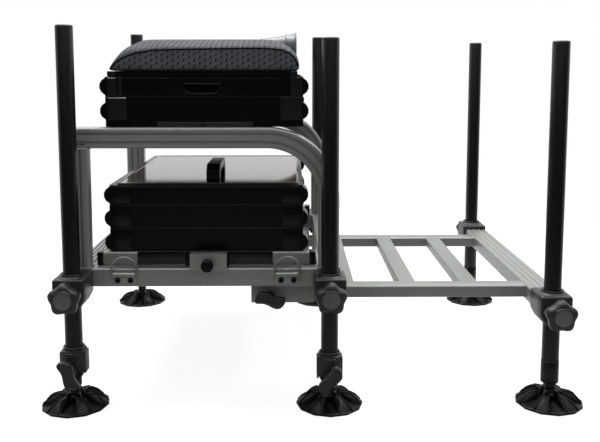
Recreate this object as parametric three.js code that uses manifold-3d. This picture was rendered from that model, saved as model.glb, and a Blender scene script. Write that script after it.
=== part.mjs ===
// Fishing seat box: a six-legged frame with arched sides, a slide-out footplate, a slide-out stack of trays
// and a cushioned seat pod with a drawer. Millimetres, +Z up. X runs to the footplate, Y to the far side.
// The origin is under the middle of the whole box, on the surface that it stands on.
import * as THREE from "three";
import { mergeVertices } from "three/addons/utils/BufferGeometryUtils.js";
import Module from "manifold-3d";

const wasm = await Module();
wasm.setup();

// Driving sizes
const gap = 0.3; // clearance between pieces that touch, seat or run on each other
const overrun = 2; // how far a cut runs past the face that it opens, or a joined piece into its neighbour
const quarterTurn = Math.PI / 2;
const fullTurn = Math.PI * 2;

const pinSides = 10; // facets of a screw or pin
const holeSides = 12; // facets of a hole that one turns in

const legPitch = 450; // rear legs to middle legs, along X
const footplateReach = 842; // rear legs to front legs, along X
const legSpan = 640; // near legs to far legs, along Y

const tube = { diameter: 30, wall: 2, capRise: 5, capShoulder: 1.6, capThickness: 8, sides: 14 };

// Heights above the ground: a leg tube's top, and the top of its lock collar or of its stub's sleeve.
const tubeTop = {
  nearRear: 669,
  nearMiddle: 645,
  nearFront: 639,
  farRear: 680.5,
  farMiddle: 673,
  farFront: 660,
};
const tubeFoot = { rear: 110, middle: 98.5, nearFront: 81, farFront: 90 };
const legs = [
  { name: "near_rear", x: 0, far: false, top: tubeTop.nearRear, lower: tubeFoot.rear, wingTilt: -0.63 },
  { name: "near_middle", x: legPitch, far: false, top: tubeTop.nearMiddle, lower: tubeFoot.middle, wingTilt: 0.39 },
  { name: "near_front", x: footplateReach, far: false, top: tubeTop.nearFront, lower: tubeFoot.nearFront },
  { name: "far_rear", x: 0, far: true, top: tubeTop.farRear, lower: tubeFoot.rear, wingTilt: 0.26 },
  { name: "far_middle", x: legPitch, far: true, top: tubeTop.farMiddle, lower: tubeFoot.middle, wingTilt: 0.26 },
  { name: "far_front", x: footplateReach, far: true, top: tubeTop.farFront, lower: tubeFoot.farFront },
];

const base = {
  beamWidth: 32,
  beamHeight: 33,
  bottom: 204,
  inset: 38, // leg plane to the outer face of a side beam
  chamfer: 2,
  ribWidth: 3,
  ribDepth: 1.2,
  ribPitch: 8,
};
const arch = {
  width: 37.5, // in the plane of the arch
  depth: 26, // across it
  railTop: 490.5,
  postX: 5.5, // rear leg axis to the middle of the rear post
  bendRadius: 111,
  corner: 4.5,
  grooveWidth: 4.6,
  grooveDepth: 1.2,
  groovePitch: 14.6,
  bendSteps: 7,
};

const clamp = {
  width: 56,
  outer: 28, // leg axis to the outer face
  height: 50,
  taper: 16,
  taperInset: 8,
  ringRadius: 19.8,
  ringHeight: 6.5,
  bossRadius: 14,
  bossLength: 6,
  screwDrop: 33.5, // ring top to screw axis
  grooveWidth: 2.4,
  grooveDepth: 1.6,
  grooveFromFace: 7,
  groovePitch: 8,
  boxTop: 240,
  frontTop: 208,
};
const knob = {
  lobes: 5,
  radius: 26.2,
  lobeRise: 2.4,
  face: 64, // leg axis to the front of the knob
  rim: 1.5,
  bevel: 5,
  discRadius: 17,
  dishRadius: 14.5,
  dishDepth: 1.4,
  screwRadius: 5,
  outlineSteps: 25,
  bevelSteps: 1,
};

const collar = {
  topRadius: 18.7,
  topHeight: 6,
  shoulderRadius: 20.3,
  barrelRadius: 22,
  barrelDrop: 39,
  footRadius: 15.2,
  height: 56,
  socketDepth: 27,
  bossRadius: 9,
  bossReach: 26.7, // leg axis to the face that the wing knob turns against
  screwDrop: 41,
  knobFace: 48, // leg axis to the front of the wing knob
};
const wing = {
  halfLength: 28.5,
  halfWidth: 11.5,
  sway: 5,
  thickness: 13,
  bevel: 2.5,
  hubRadius: 8.5,
  screwRadius: 3.5,
  edgeSteps: 6,
  bevelSteps: 1,
};
const inner = {
  radius: 11.5,
  headRadius: 12.7,
  headLength: 15,
  insideTube: 175,
  barrelBottom: 38,
  tongueWidth: 18,
  tongueThickness: 12,
};
const stub = {
  sleeveRadius: 15.6,
  sleeveBottom: 39,
  plugLength: 30,
  chamfer: 2,
  buttonRadius: 2.6,
  buttonRise: 1,
  buttonDrop: 18,
};
const foot = {
  radius: 59,
  rimHeight: 5,
  skirtRadius: 26,
  skirtHeight: 11,
  hubHeight: 29,
  hubWidth: 32,
  slotFloor: 7,
  pivotHeight: 18,
  pinRadius: 3.5,
  headRadius: 5.5,
  headHeight: 2.5,
  lobes: 6,
  lobeBase: { height: 3, centre: 36, halfLength: 21, halfWidth: 12 },
  lobeCrest: { height: 22, centre: 32, halfLength: 7, halfWidth: 4 },
  sides: 12,
};

const footplate = {
  top: 190,
  height: 22,
  runnerOuter: 88, // leg plane to the outer face of a runner
  runnerWidth: 37,
  runnerRear: 322,
  slatWidth: 34,
  slatFirst: 502, // front edge of the rear slat
  slatPitch: 118,
  slats: 3,
  slatThickness: 20,
  endWidth: 49,
  endAhead: 3.5, // centre of the end beam ahead of the front leg axis
  endRise: 2,
  endHeight: 29,
  ribWidth: 4,
  ribDepth: 1.2,
  ribPitch: 12,
};
const sleeve = {
  rear: 308,
  front: 425,
  wall: 4.7,
  floor: 7,
  plate: 8,
  screwX: 344,
  screwHeight: 174,
  knobFace: 46, // leg plane to the front of the wing knob
};

const deck = {
  rear: 29,
  front: 427,
  railWidth: 23.7,
  railHeight: 23.7,
  barWidth: 30,
  barInset: 31,
  barRise: 2.7,
  barHeight: 16,
};
const latch = {
  centre: 234,
  width: 66,
  thickness: 3.3,
  lap: 4.4, // how far the plate laps the beam's face
  rise: 27, // beam top to the plate's top
  flangeWidth: 17,
  flangeThickness: 4,
  knobRadius: 11,
  knobLength: 17,
  knobStandoff: 9, // plate face to the knob
  knobRound: 2.5,
  pinRadius: 4,
  axisRise: 10.3, // beam top to the plunger's axis
};
const bracket = {
  rearCentre: 83.3,
  frontCentre: 375.6,
  width: 43,
  neckWidth: 40,
  thickness: 3,
  drop: 27, // beam top to the plate's bottom
  shoulderDrop: 16,
  topDrop: 7,
  eyeRadius: 4.5,
  eyeLength: 40,
  eyeDrop: 10, // beam top to the axis that the ring turns on
  boltPitch: 23,
  boltRadius: 5.3,
  boltRise: 3,
  boltDrop: 21,
};
const dRing = { wire: 2.2, width: 45.6, height: 31, lean: 0.14, arcSteps: 9, wireSides: 8 };

const trays = {
  rear: 52,
  front: 404,
  inset: 72, // leg plane to the near face
  wall: 3,
  bulgeRadius: 16,
  bulgeRise: 10, // how far a corner bulge stands out of the end wall
  bulgeLength: 42,
  bulgeHeight: 16.6, // bulge axis above the tray's bottom
  bulgeSides: 14,
};
const trayHeight = { bottom: 43.7, middle: 42.8, top: 33 };
const lid = {
  thickness: 4.7,
  rim: 8,
  dish: 1.5,
  handleX: 239,
  handleNear: 92,
  handleLength: 128,
  handleWidth: 25,
  handleHeight: 32,
  handleGapLength: 88,
  handleGapHeight: 17,
  handleSlope: 12,
};

const pod = {
  rear: 55,
  front: 404,
  inset: 48,
  wall: 3,
  trayHeight: 53.5,
  trayBulge: 28, // bulge axis above the deep tray's bottom
  housingHeight: 34.5,
  housingBulge: 17.6,
  panelRear: 86,
  panelFront: 369,
  seatThickness: 9.4,
  recessFrom: 142,
  recessTo: 316,
  recessTop: 498,
  recessDepth: 5,
};
const drawer = {
  panelThickness: 4,
  panelRise: 1.7, // housing bottom to panel bottom
  panelHeight: 31,
  wall: 2,
  sideInset: 3,
  boxRise: 4,
  boxHeight: 26,
  boxInset: 32, // drawer's far end to the housing's far face
  pullFrom: 196,
  pullTo: 256,
  pullLow: 550.5,
  pullHigh: 566,
  pullDepth: 14,
};
const hinge = { radius: 4, pin: 2, offset: 4.5, knuckle: 20, lug: 10, inset: 102 };
const cushion = {
  rear: 59,
  front: 400,
  endInset: 2,
  edgeHeight: 40,
  crownHeight: 66,
  edgeShare: 0.06, // of the fall, left at the rear and front edges
  rearCorner: { power: 4, fallShare: 0.7 },
  frontCorner: { power: 8, fallShare: 0.5 },
  drawIn: 5,
  stepsX: 14,
  stepsY: 16,
  stepsZ: 2,
};
const cup = {
  mouthX: 396,
  beadX: 373,
  tailX: 305,
  standoff: 38, // seat's far edge to the cup's axis
  rise: 70.7, // seat's bottom to the cup's axis
  mouthRadius: 32,
  beadRadius: 27.5,
  beadRise: 2.5,
  beadWidth: 6,
  throatRadius: 20,
  tailRadius: 16,
  wall: 2.5,
  boreFloor: 318,
  armFrom: 318,
  armTo: 342,
  armThickness: 6,
  sides: 16,
};

// Places that follow from the sizes
const nearBeam = [base.inset, base.inset + base.beamWidth];
const farBeam = [legSpan - nearBeam[1], legSpan - nearBeam[0]];
const baseTop = base.bottom + base.beamHeight;
const frameEnds = [-arch.width / 2, legPitch + arch.width / 2];
const nearRunner = [footplate.runnerOuter, footplate.runnerOuter + footplate.runnerWidth];
const sleeveFace = nearRunner[0] - gap - sleeve.wall;
const legRadius = tube.diameter / 2;
const legBore = legRadius - tube.wall;
const podBottom = arch.railTop + gap;
const housingBottom = podBottom + pod.trayHeight + gap;
const seatBottom = housingBottom + pod.housingHeight + gap;
const cushionBottom = seatBottom + pod.seatThickness + gap;
const podEnds = [pod.rear, pod.front];
const podSpan = [pod.inset, legSpan - pod.inset];
const hingeX = pod.rear - hinge.offset;
const hingeCentres = [podSpan[0] + hinge.inset, podSpan[1] - hinge.inset];
const ringAxis = baseTop - bracket.eyeDrop;
const latchAxis = baseTop + latch.axisRise;
const cupAxisY = podSpan[1] + cup.standoff;
const cupAxisZ = seatBottom + cup.rise;
const latchFace = nearBeam[0] - latch.thickness;

// Finishes
const finish = {
  aluminium: new THREE.MeshStandardMaterial({ color: 0x8d918c, roughness: 0.42, metalness: 0.85 }),
  anodised: new THREE.MeshStandardMaterial({ color: 0x161516, roughness: 0.35, metalness: 0.6 }),
  moulded: new THREE.MeshStandardMaterial({ color: 0x26272a, roughness: 0.5, metalness: 0 }),
  tray: new THREE.MeshStandardMaterial({ color: 0x0d0d0e, roughness: 0.45, metalness: 0 }),
  gloss: new THREE.MeshStandardMaterial({ color: 0x0b0b0c, roughness: 0.08, metalness: 0 }),
  steel: new THREE.MeshStandardMaterial({ color: 0x9da29f, roughness: 0.3, metalness: 0.95 }),
  fabric: new THREE.MeshStandardMaterial({ color: 0x4a4d52, roughness: 0.95, metalness: 0 }),
  greyPlastic: new THREE.MeshStandardMaterial({ color: 0x8b8d90, roughness: 0.25, metalness: 0 }),
};

// Joining and cutting closed geometries
function solidOf(geometry) {
  const bare = new THREE.BufferGeometry();
  bare.setAttribute("position", geometry.getAttribute("position"));
  bare.setIndex(geometry.index);
  const merged = mergeVertices(bare);
  const corners = merged.index.array;
  const triangles = [];
  for (let i = 0; i < corners.length; i += 3) {
    const [a, b, c] = [corners[i], corners[i + 1], corners[i + 2]];
    if (a !== b && b !== c && c !== a) triangles.push(a, b, c);
  }
  const mesh = new wasm.Mesh({
    numProp: 3,
    vertProperties: new Float32Array(merged.attributes.position.array),
    triVerts: new Uint32Array(triangles),
  });
  return new wasm.Manifold(mesh);
}

function geometryOf(solid) {
  const mesh = solid.getMesh();
  const geometry = new THREE.BufferGeometry();
  geometry.setAttribute("position", new THREE.BufferAttribute(new Float32Array(mesh.vertProperties), 3));
  geometry.setIndex(new THREE.BufferAttribute(new Uint32Array(mesh.triVerts), 1));
  return geometry;
}

function join(...geometries) {
  return geometryOf(geometries.map(solidOf).reduce((whole, next) => whole.add(next)));
}

function cut(geometry, ...tools) {
  return geometryOf(tools.map(solidOf).reduce((whole, tool) => whole.subtract(tool), solidOf(geometry)));
}

// Basic shapes between stated places
const middle = (span) => (span[0] + span[1]) / 2;
const length = (span) => span[1] - span[0];
const about = (centre, size) => [centre - size / 2, centre + size / 2];
const from = (start, size) => [start, start + size];
const acrossBox = (span) => [legSpan - span[1], legSpan - span[0]];

function block(x, y, z) {
  const geometry = new THREE.BoxGeometry(length(x), length(y), length(z));
  return geometry.translate(middle(x), middle(y), middle(z));
}

function rodX(radius, x, y, z, sides = tube.sides) {
  const geometry = new THREE.CylinderGeometry(radius, radius, length(x), sides);
  return geometry.rotateZ(quarterTurn).translate(middle(x), y, z);
}

function rodY(radius, x, y, z, sides = tube.sides) {
  return new THREE.CylinderGeometry(radius, radius, length(y), sides).translate(x, middle(y), z);
}

function rodZ(radius, x, y, z, sides = tube.sides) {
  const geometry = new THREE.CylinderGeometry(radius, radius, length(z), sides);
  return geometry.rotateX(quarterTurn).translate(x, y, middle(z));
}

// A closed row of [radius, height] points, up the outside and down the inside, turned round Z.
function turned(outline, sides = tube.sides) {
  const points = outline.map(([radius, height]) => new THREE.Vector2(radius, height));
  return new THREE.LatheGeometry(points, sides).rotateX(quarterTurn);
}

function shapeOf(points) {
  return new THREE.Shape(points.map(([x, y]) => new THREE.Vector2(x, y)));
}

// A shape drawn in Y and Z, run along X.
function alongX(shape, x) {
  const geometry = new THREE.ExtrudeGeometry(shape, { depth: length(x), bevelEnabled: false });
  return geometry.rotateX(quarterTurn).rotateZ(quarterTurn).translate(x[0], 0, 0);
}

// A shape drawn in X and Z, run along Y.
function alongY(shape, y) {
  const geometry = new THREE.ExtrudeGeometry(shape, { depth: length(y), bevelEnabled: false });
  return geometry.rotateX(quarterTurn).translate(0, y[1], 0);
}

function chamferedSection(a, b, chamfer) {
  return shapeOf([
    [a[0] + chamfer, b[0]],
    [a[1] - chamfer, b[0]],
    [a[1], b[0] + chamfer],
    [a[1], b[1] - chamfer],
    [a[1] - chamfer, b[1]],
    [a[0] + chamfer, b[1]],
    [a[0], b[1] - chamfer],
    [a[0], b[0] + chamfer],
  ]);
}

// A quarter of an outline, from +x round to +y, repeated into the other three quarters.
function fourfold(quarter) {
  const back = [...quarter].reverse();
  return [
    ...quarter,
    ...back.map(([x, y]) => [-x, y]),
    ...quarter.map(([x, y]) => [-x, -y]),
    ...back.map(([x, y]) => [x, -y]),
  ].map(([x, y]) => new THREE.Vector2(x, y));
}

// An outline carried through a row of places. A place has an origin and the directions that the outline's
// x and y run along there; across x up points the way that the row goes.
function swept(outline, places, closed = false) {
  const positions = [];
  for (const { origin, across, up } of places) {
    for (const point of outline) {
      const at = origin.clone().addScaledVector(across, point.x).addScaledVector(up, point.y);
      positions.push(at.x, at.y, at.z);
    }
  }
  const count = outline.length;
  const triangles = [];
  const strips = closed ? places.length : places.length - 1;
  for (let ring = 0; ring < strips; ring += 1) {
    const here = ring * count;
    const there = ((ring + 1) % places.length) * count;
    for (let i = 0; i < count; i += 1) {
      const next = (i + 1) % count;
      triangles.push(here + i, here + next, there + next, here + i, there + next, there + i);
    }
  }
  if (!closed) {
    const last = (places.length - 1) * count;
    for (const [i, j, k] of THREE.ShapeUtils.triangulateShape(outline, [])) {
      triangles.push(k, j, i, last + i, last + j, last + k);
    }
  }
  const geometry = new THREE.BufferGeometry();
  geometry.setAttribute("position", new THREE.Float32BufferAttribute(positions, 3));
  geometry.setIndex(triangles);
  return geometry;
}

// The same piece on the far side of the box.
function onFarSide(geometry) {
  const copy = geometry.clone().scale(1, -1, 1).translate(0, legSpan, 0);
  const corners = copy.index.array;
  for (let i = 0; i < corners.length; i += 3) {
    [corners[i + 1], corners[i + 2]] = [corners[i + 2], corners[i + 1]];
  }
  return copy;
}

// Frame
function footplateSleeve() {
  const x = [sleeve.rear, sleeve.front];
  const face = [sleeveFace, nearRunner[0] - gap];
  const across = [face[0], nearRunner[1]];
  const floorTop = footplate.top - footplate.height - gap;
  const plateBottom = base.bottom - sleeve.plate;
  const wall = block(x, face, [floorTop - sleeve.floor, base.bottom]);
  const floor = block(x, across, [floorTop - sleeve.floor, floorTop]);
  const filler = block(x, across, [footplate.top + gap, base.bottom]);
  const plate = block(x, [nearBeam[1] - overrun - overrun, across[1]], [plateBottom, base.bottom + overrun]);
  const screwRun = [face[0] - overrun, face[1] + overrun];
  const hole = rodY(wing.screwRadius + gap, sleeve.screwX, screwRun, sleeve.screwHeight, holeSides);
  return cut(join(wall, floor, filler, plate), hole);
}

function latchPlate() {
  const x = about(latch.centre, latch.width);
  const z = [baseTop - latch.lap, baseTop + latch.rise];
  const plate = block(x, [latchFace, nearBeam[0]], z);
  const flange = block(x, from(latchFace, latch.flangeWidth), [z[1] - latch.flangeThickness, z[1]]);
  const seat = block(x, [latchFace, nearBeam[0] + overrun], [z[0], baseTop - base.chamfer]);
  const pinRun = [latchFace - overrun, nearBeam[1]];
  const hole = rodY(latch.pinRadius + gap, latch.centre, pinRun, latchAxis, holeSides);
  return cut(join(plate, flange, seat), hole);
}

function baseFrame() {
  const z = [base.bottom, baseTop];
  const sideBeam = (y) => alongX(chamferedSection(y, z, base.chamfer), frameEnds);
  const crossBeam = (centre) => {
    const y = [nearBeam[0] + overrun, farBeam[1] - overrun];
    const beam = alongY(chamferedSection(about(centre, base.beamWidth), z, base.chamfer), y);
    const depth = [baseTop - base.ribDepth, baseTop + overrun];
    const grooves = [-base.ribPitch, 0, base.ribPitch].map((offset) =>
      block(about(centre + offset, base.ribWidth), [nearBeam[1], farBeam[0]], depth),
    );
    return cut(beam, ...grooves);
  };
  const nearSleeve = footplateSleeve();
  return join(
    sideBeam(nearBeam),
    sideBeam(farBeam),
    crossBeam(0),
    crossBeam(legPitch),
    nearSleeve,
    onFarSide(nearSleeve),
    latchPlate(),
  );
}

// Across the arch by the way out of the bend, with rounded corners and two grooves in each side face.
function archSection() {
  const x = arch.depth / 2;
  const y = arch.width / 2;
  const soft = arch.corner * (1 - Math.SQRT1_2);
  const floor = x - arch.grooveDepth;
  const low = (arch.groovePitch - arch.grooveWidth) / 2;
  const high = (arch.groovePitch + arch.grooveWidth) / 2;
  return fourfold([
    [x, low],
    [floor, low],
    [floor, high],
    [x, high],
    [x, y - arch.corner],
    [x - soft, y - soft],
    [x - arch.corner, y],
  ]);
}

function sideArch() {
  const y = base.inset + arch.depth / 2;
  const railAxis = arch.railTop - arch.width / 2;
  const bendX = legPitch - arch.bendRadius;
  const bendZ = railAxis - arch.bendRadius;
  const footZ = baseTop + gap;
  const placeAt = (x, z, angle) => ({
    origin: new THREE.Vector3(x, y, z),
    across: new THREE.Vector3(0, 1, 0),
    up: new THREE.Vector3(Math.sin(angle), 0, Math.cos(angle)),
  });
  const bend = [];
  for (let step = 0; step <= arch.bendSteps; step += 1) {
    const angle = (quarterTurn * step) / arch.bendSteps;
    const x = bendX + arch.bendRadius * Math.sin(angle);
    bend.push(placeAt(x, bendZ + arch.bendRadius * Math.cos(angle), angle));
  }
  const rear = placeAt(frameEnds[0], railAxis, 0);
  const front = placeAt(legPitch, footZ, quarterTurn);
  const hoop = swept(archSection(), [rear, ...bend, front]);
  const postPlace = (z) => ({
    origin: new THREE.Vector3(arch.postX, y, z),
    across: new THREE.Vector3(0, -1, 0),
    up: new THREE.Vector3(1, 0, 0),
  });
  const post = swept(archSection(), [postPlace(footZ), postPlace(railAxis)]);
  return join(hoop, post);
}

function ringBracket(x) {
  const face = nearBeam[0] - gap;
  const outer = face - bracket.thickness;
  const eyeY = face - bracket.eyeRadius;
  const bottom = baseTop - bracket.drop;
  const plate = block(about(x, bracket.width), [outer, face], [bottom, baseTop - bracket.shoulderDrop]);
  const neck = block(about(x, bracket.neckWidth), [outer, face], [bottom, baseTop - bracket.topDrop]);
  const eye = rodX(bracket.eyeRadius, about(x, bracket.eyeLength), eyeY, ringAxis, holeSides);
  const bore = rodX(dRing.wire + gap, about(x, bracket.width + overrun), eyeY, ringAxis, holeSides);
  const boltRun = [outer - bracket.boltRise, outer + overrun];
  const bolts = [-1, 1].map((side) => {
    const at = x + (side * bracket.boltPitch) / 2;
    return rodY(bracket.boltRadius, at, boltRun, baseTop - bracket.boltDrop, holeSides);
  });
  return cut(join(plate, neck, eye, ...bolts), bore);
}

// The ring stands up from its bar, leaning back against the frame.
function ringLoop(x) {
  const half = dRing.width / 2;
  const arm = dRing.height - half;
  const path = [new THREE.Vector2(-half, 0), new THREE.Vector2(half, 0)];
  for (let step = 0; step <= dRing.arcSteps; step += 1) {
    const angle = (Math.PI * step) / dRing.arcSteps;
    path.push(new THREE.Vector2(half * Math.cos(angle), arm + half * Math.sin(angle)));
  }
  const rise = new THREE.Vector3(0, Math.sin(dRing.lean), Math.cos(dRing.lean));
  const side = new THREE.Vector3(1, 0, 0);
  const centre = new THREE.Vector3(x, nearBeam[0] - gap - bracket.eyeRadius, ringAxis);
  const places = path.map((point, i) => {
    const before = path[(i + path.length - 1) % path.length];
    const after = path[(i + 1) % path.length];
    const arriving = point.clone().sub(before).normalize();
    const leaving = after.clone().sub(point).normalize();
    const along = arriving.clone().add(leaving).normalize();
    const inward = new THREE.Vector2(-along.y, along.x).divideScalar(along.dot(arriving));
    return {
      origin: centre.clone().addScaledVector(side, point.x).addScaledVector(rise, point.y),
      across: side.clone().multiplyScalar(inward.x).addScaledVector(rise, inward.y),
      up: side.clone().cross(rise),
    };
  });
  const wire = [];
  for (let step = 0; step < dRing.wireSides; step += 1) {
    const angle = (fullTurn * step) / dRing.wireSides;
    wire.push(new THREE.Vector2(dRing.wire * Math.cos(angle), dRing.wire * Math.sin(angle)));
  }
  return join(swept(wire, places, true));
}

function springPlunger() {
  const knobFront = latchFace - latch.knobStandoff - latch.knobLength;
  const soft = latch.knobRound;
  const handle = turned([
    [0, 0],
    [latch.knobRadius - soft, 0],
    [latch.knobRadius, soft],
    [latch.knobRadius, latch.knobLength - soft],
    [latch.knobRadius - soft, latch.knobLength],
    [0, latch.knobLength],
  ]);
  handle.rotateX(-quarterTurn).translate(latch.centre, knobFront, latchAxis);
  const pinRun = [knobFront + overrun, nearBeam[0] + arch.depth];
  const pin = rodY(latch.pinRadius, latch.centre, pinRun, latchAxis, pinSides);
  return join(handle, pin);
}

// Legs, each drawn round its own axis with the outer side towards -Y
function legClamp(top) {
  const shoulder = top - clamp.ringHeight;
  const bottom = shoulder - clamp.height;
  const half = clamp.width / 2;
  const foot = half - clamp.taperInset;
  const y = [-clamp.outer, nearBeam[0] - gap];
  const profile = shapeOf([
    [-foot, bottom],
    [foot, bottom],
    [half, bottom + clamp.taper],
    [half, shoulder],
    [-half, shoulder],
    [-half, bottom + clamp.taper],
  ]);
  const body = alongY(profile, y);
  const screwZ = top - clamp.screwDrop;
  const ring = rodZ(clamp.ringRadius, 0, 0, [shoulder - overrun, top]);
  const boss = rodY(clamp.bossRadius, 0, [y[0] - clamp.bossLength, y[0] + overrun], screwZ);
  const through = [bottom - overrun, top + overrun];
  const sides = [
    [-half - overrun, clamp.grooveDepth - half],
    [half - clamp.grooveDepth, half + overrun],
  ];
  const firstRow = y[0] + clamp.grooveFromFace;
  const rows = [firstRow, firstRow + clamp.groovePitch].map((row) => about(row, clamp.grooveWidth));
  const grooves = sides.flatMap((x) => rows.map((row) => block(x, row, through)));
  const bore = rodZ(legRadius + gap, 0, 0, through);
  const screwRun = [y[0] - clamp.bossLength - overrun, 0];
  const screwHole = rodY(knob.screwRadius + gap, 0, screwRun, screwZ, holeSides);
  return cut(join(body, ring, boss), ...grooves, bore, screwHole);
}

function clampKnob(top) {
  const screwZ = top - clamp.screwDrop;
  const back = -clamp.outer - clamp.bossLength - gap;
  const front = -knob.face;
  const outline = [];
  for (let step = 0; step < knob.outlineSteps; step += 1) {
    const angle = (fullTurn * step) / knob.outlineSteps;
    const radius = knob.radius + knob.lobeRise * Math.cos(knob.lobes * angle);
    outline.push([-radius * Math.sin(angle), radius * Math.cos(angle)]);
  }
  const star = new THREE.ExtrudeGeometry(shapeOf(outline), {
    depth: back - front - knob.rim - knob.bevel - knob.bevel,
    bevelThickness: knob.bevel,
    bevelSize: knob.bevel,
    bevelOffset: -knob.bevel,
    bevelSegments: knob.bevelSteps,
  });
  star.rotateX(quarterTurn).translate(0, back - knob.bevel, screwZ);
  const disc = rodY(knob.discRadius, 0, [front, front + knob.rim + overrun], screwZ);
  const dish = rodY(knob.dishRadius, 0, [front - overrun, front + knob.dishDepth], screwZ);
  const screw = rodY(knob.screwRadius, 0, [back - overrun, -legRadius - gap], screwZ, pinSides);
  return cut(join(star, disc, screw), dish);
}

function legTube(bottom, top) {
  const shell = turned([
    [legBore, bottom],
    [legRadius, bottom],
    [legRadius, top - tube.capRise],
    [legRadius - tube.capShoulder, top - tube.capShoulder],
    [0, top],
    [0, top - tube.capThickness],
    [legBore, top - tube.capThickness],
    [legBore, bottom],
  ]);
  return join(shell);
}

function lockCollar(top) {
  const bottom = top - collar.height;
  const bore = inner.radius + gap;
  const shell = turned([
    [bore, bottom],
    [collar.footRadius, bottom],
    [collar.barrelRadius, top - collar.barrelDrop],
    [collar.shoulderRadius, top - collar.topHeight],
    [collar.topRadius, top - collar.topHeight],
    [collar.topRadius, top],
    [legRadius + gap, top],
    [legRadius + gap, top - collar.socketDepth],
    [bore, top - collar.socketDepth],
    [bore, bottom],
  ]);
  const screwZ = top - collar.screwDrop;
  const boss = rodY(collar.bossRadius, 0, [-collar.bossReach, -bore - overrun], screwZ, holeSides);
  const hole = rodY(wing.screwRadius + gap, 0, [-collar.bossReach - overrun, 0], screwZ, holeSides);
  return cut(join(shell, boss), hole);
}

// An S-shaped grip and its screw, both along Y. The grip's long side leans from upright by the tilt.
function wingKnob(front, back, screwEnd, tilt) {
  const right = [];
  const left = [];
  for (let step = -wing.edgeSteps; step <= wing.edgeSteps; step += 1) {
    const share = step / wing.edgeSteps;
    const bow = wing.sway * Math.sin(Math.PI * share);
    const half = wing.halfWidth * Math.sqrt(1 - share ** 4);
    right.push([bow + half, wing.halfLength * share]);
    if (half > 0) left.unshift([bow - half, wing.halfLength * share]);
  }
  const grip = new THREE.ExtrudeGeometry(shapeOf([...right, ...left]), {
    depth: wing.thickness - wing.bevel - wing.bevel,
    bevelThickness: wing.bevel,
    bevelSize: wing.bevel,
    bevelOffset: -wing.bevel,
    bevelSegments: wing.bevelSteps,
  });
  grip.rotateX(quarterTurn).translate(0, front + wing.thickness - wing.bevel, 0).rotateY(tilt);
  const hub = rodY(wing.hubRadius, 0, [front + wing.bevel + overrun, back], 0, holeSides);
  const screw = rodY(wing.screwRadius, 0, [back - overrun, screwEnd], 0, pinSides);
  return join(grip, hub, screw);
}

// The flat end of a leg, rounded about the foot's pin.
function tongue(top) {
  const y = about(0, inner.tongueThickness);
  const bar = block(about(0, inner.tongueWidth), y, [foot.pivotHeight, top]);
  return join(bar, rodY(inner.tongueWidth / 2, 0, y, foot.pivotHeight));
}

const pinBore = () => rodY(foot.pinRadius + gap, 0, about(0, foot.hubWidth), foot.pivotHeight, holeSides);

function innerLeg(tubeBottom) {
  const top = tubeBottom + inner.insideTube;
  const barrel = turned([
    [0, inner.barrelBottom],
    [inner.radius, inner.barrelBottom],
    [inner.radius, top - inner.headLength],
    [inner.headRadius, top - inner.headLength],
    [inner.headRadius, top],
    [0, top],
  ]);
  return cut(join(barrel, tongue(inner.barrelBottom + overrun)), pinBore());
}

function frontStub(tubeBottom) {
  const top = tubeBottom - gap;
  const body = turned([
    [0, stub.sleeveBottom],
    [stub.sleeveRadius - stub.chamfer, stub.sleeveBottom],
    [stub.sleeveRadius, stub.sleeveBottom + stub.chamfer],
    [stub.sleeveRadius, top],
    [inner.headRadius, top],
    [inner.headRadius, top + stub.plugLength],
    [0, top + stub.plugLength],
  ]);
  const buttonRun = [-stub.sleeveRadius - stub.buttonRise, -inner.radius];
  const button = rodY(stub.buttonRadius, 0, buttonRun, top - stub.buttonDrop, pinSides);
  return cut(join(body, button, tongue(stub.sleeveBottom + overrun)), pinBore());
}

function mudFoot() {
  const rim = [
    [0, 0],
    [foot.radius, 0],
    [foot.radius, foot.rimHeight],
    [foot.skirtRadius, foot.skirtHeight],
    [0, foot.skirtHeight],
  ];
  const disc = turned(rim, foot.sides);
  const places = [foot.lobeBase, foot.lobeCrest].map(({ height, centre, halfLength, halfWidth }) => ({
    origin: new THREE.Vector3(centre, 0, height),
    across: new THREE.Vector3(halfLength, 0, 0),
    up: new THREE.Vector3(0, halfWidth, 0),
  }));
  const lobes = [];
  for (let index = 0; index < foot.lobes; index += 1) {
    lobes.push(swept(fourfold([[1, 1]]), places).rotateZ((fullTurn * index) / foot.lobes));
  }
  const hubSpan = about(0, foot.hubWidth);
  const hub = block(hubSpan, hubSpan, [foot.rimHeight, foot.hubHeight]);
  const slotWidth = about(0, inner.tongueThickness + gap + gap);
  const slotLength = [hubSpan[0] - overrun, hubSpan[1] + overrun];
  const slot = block(slotLength, slotWidth, [foot.slotFloor, foot.hubHeight + overrun]);
  const pinRun = [hubSpan[0] + overrun, hubSpan[1] - overrun];
  const pin = rodY(foot.pinRadius, 0, pinRun, foot.pivotHeight, pinSides);
  const headRun = [hubSpan[0] - foot.headHeight, hubSpan[0] + overrun];
  const head = rodY(foot.headRadius, 0, headRun, foot.pivotHeight, pinSides);
  return join(cut(join(disc, hub, ...lobes), slot), pin, head);
}

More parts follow.
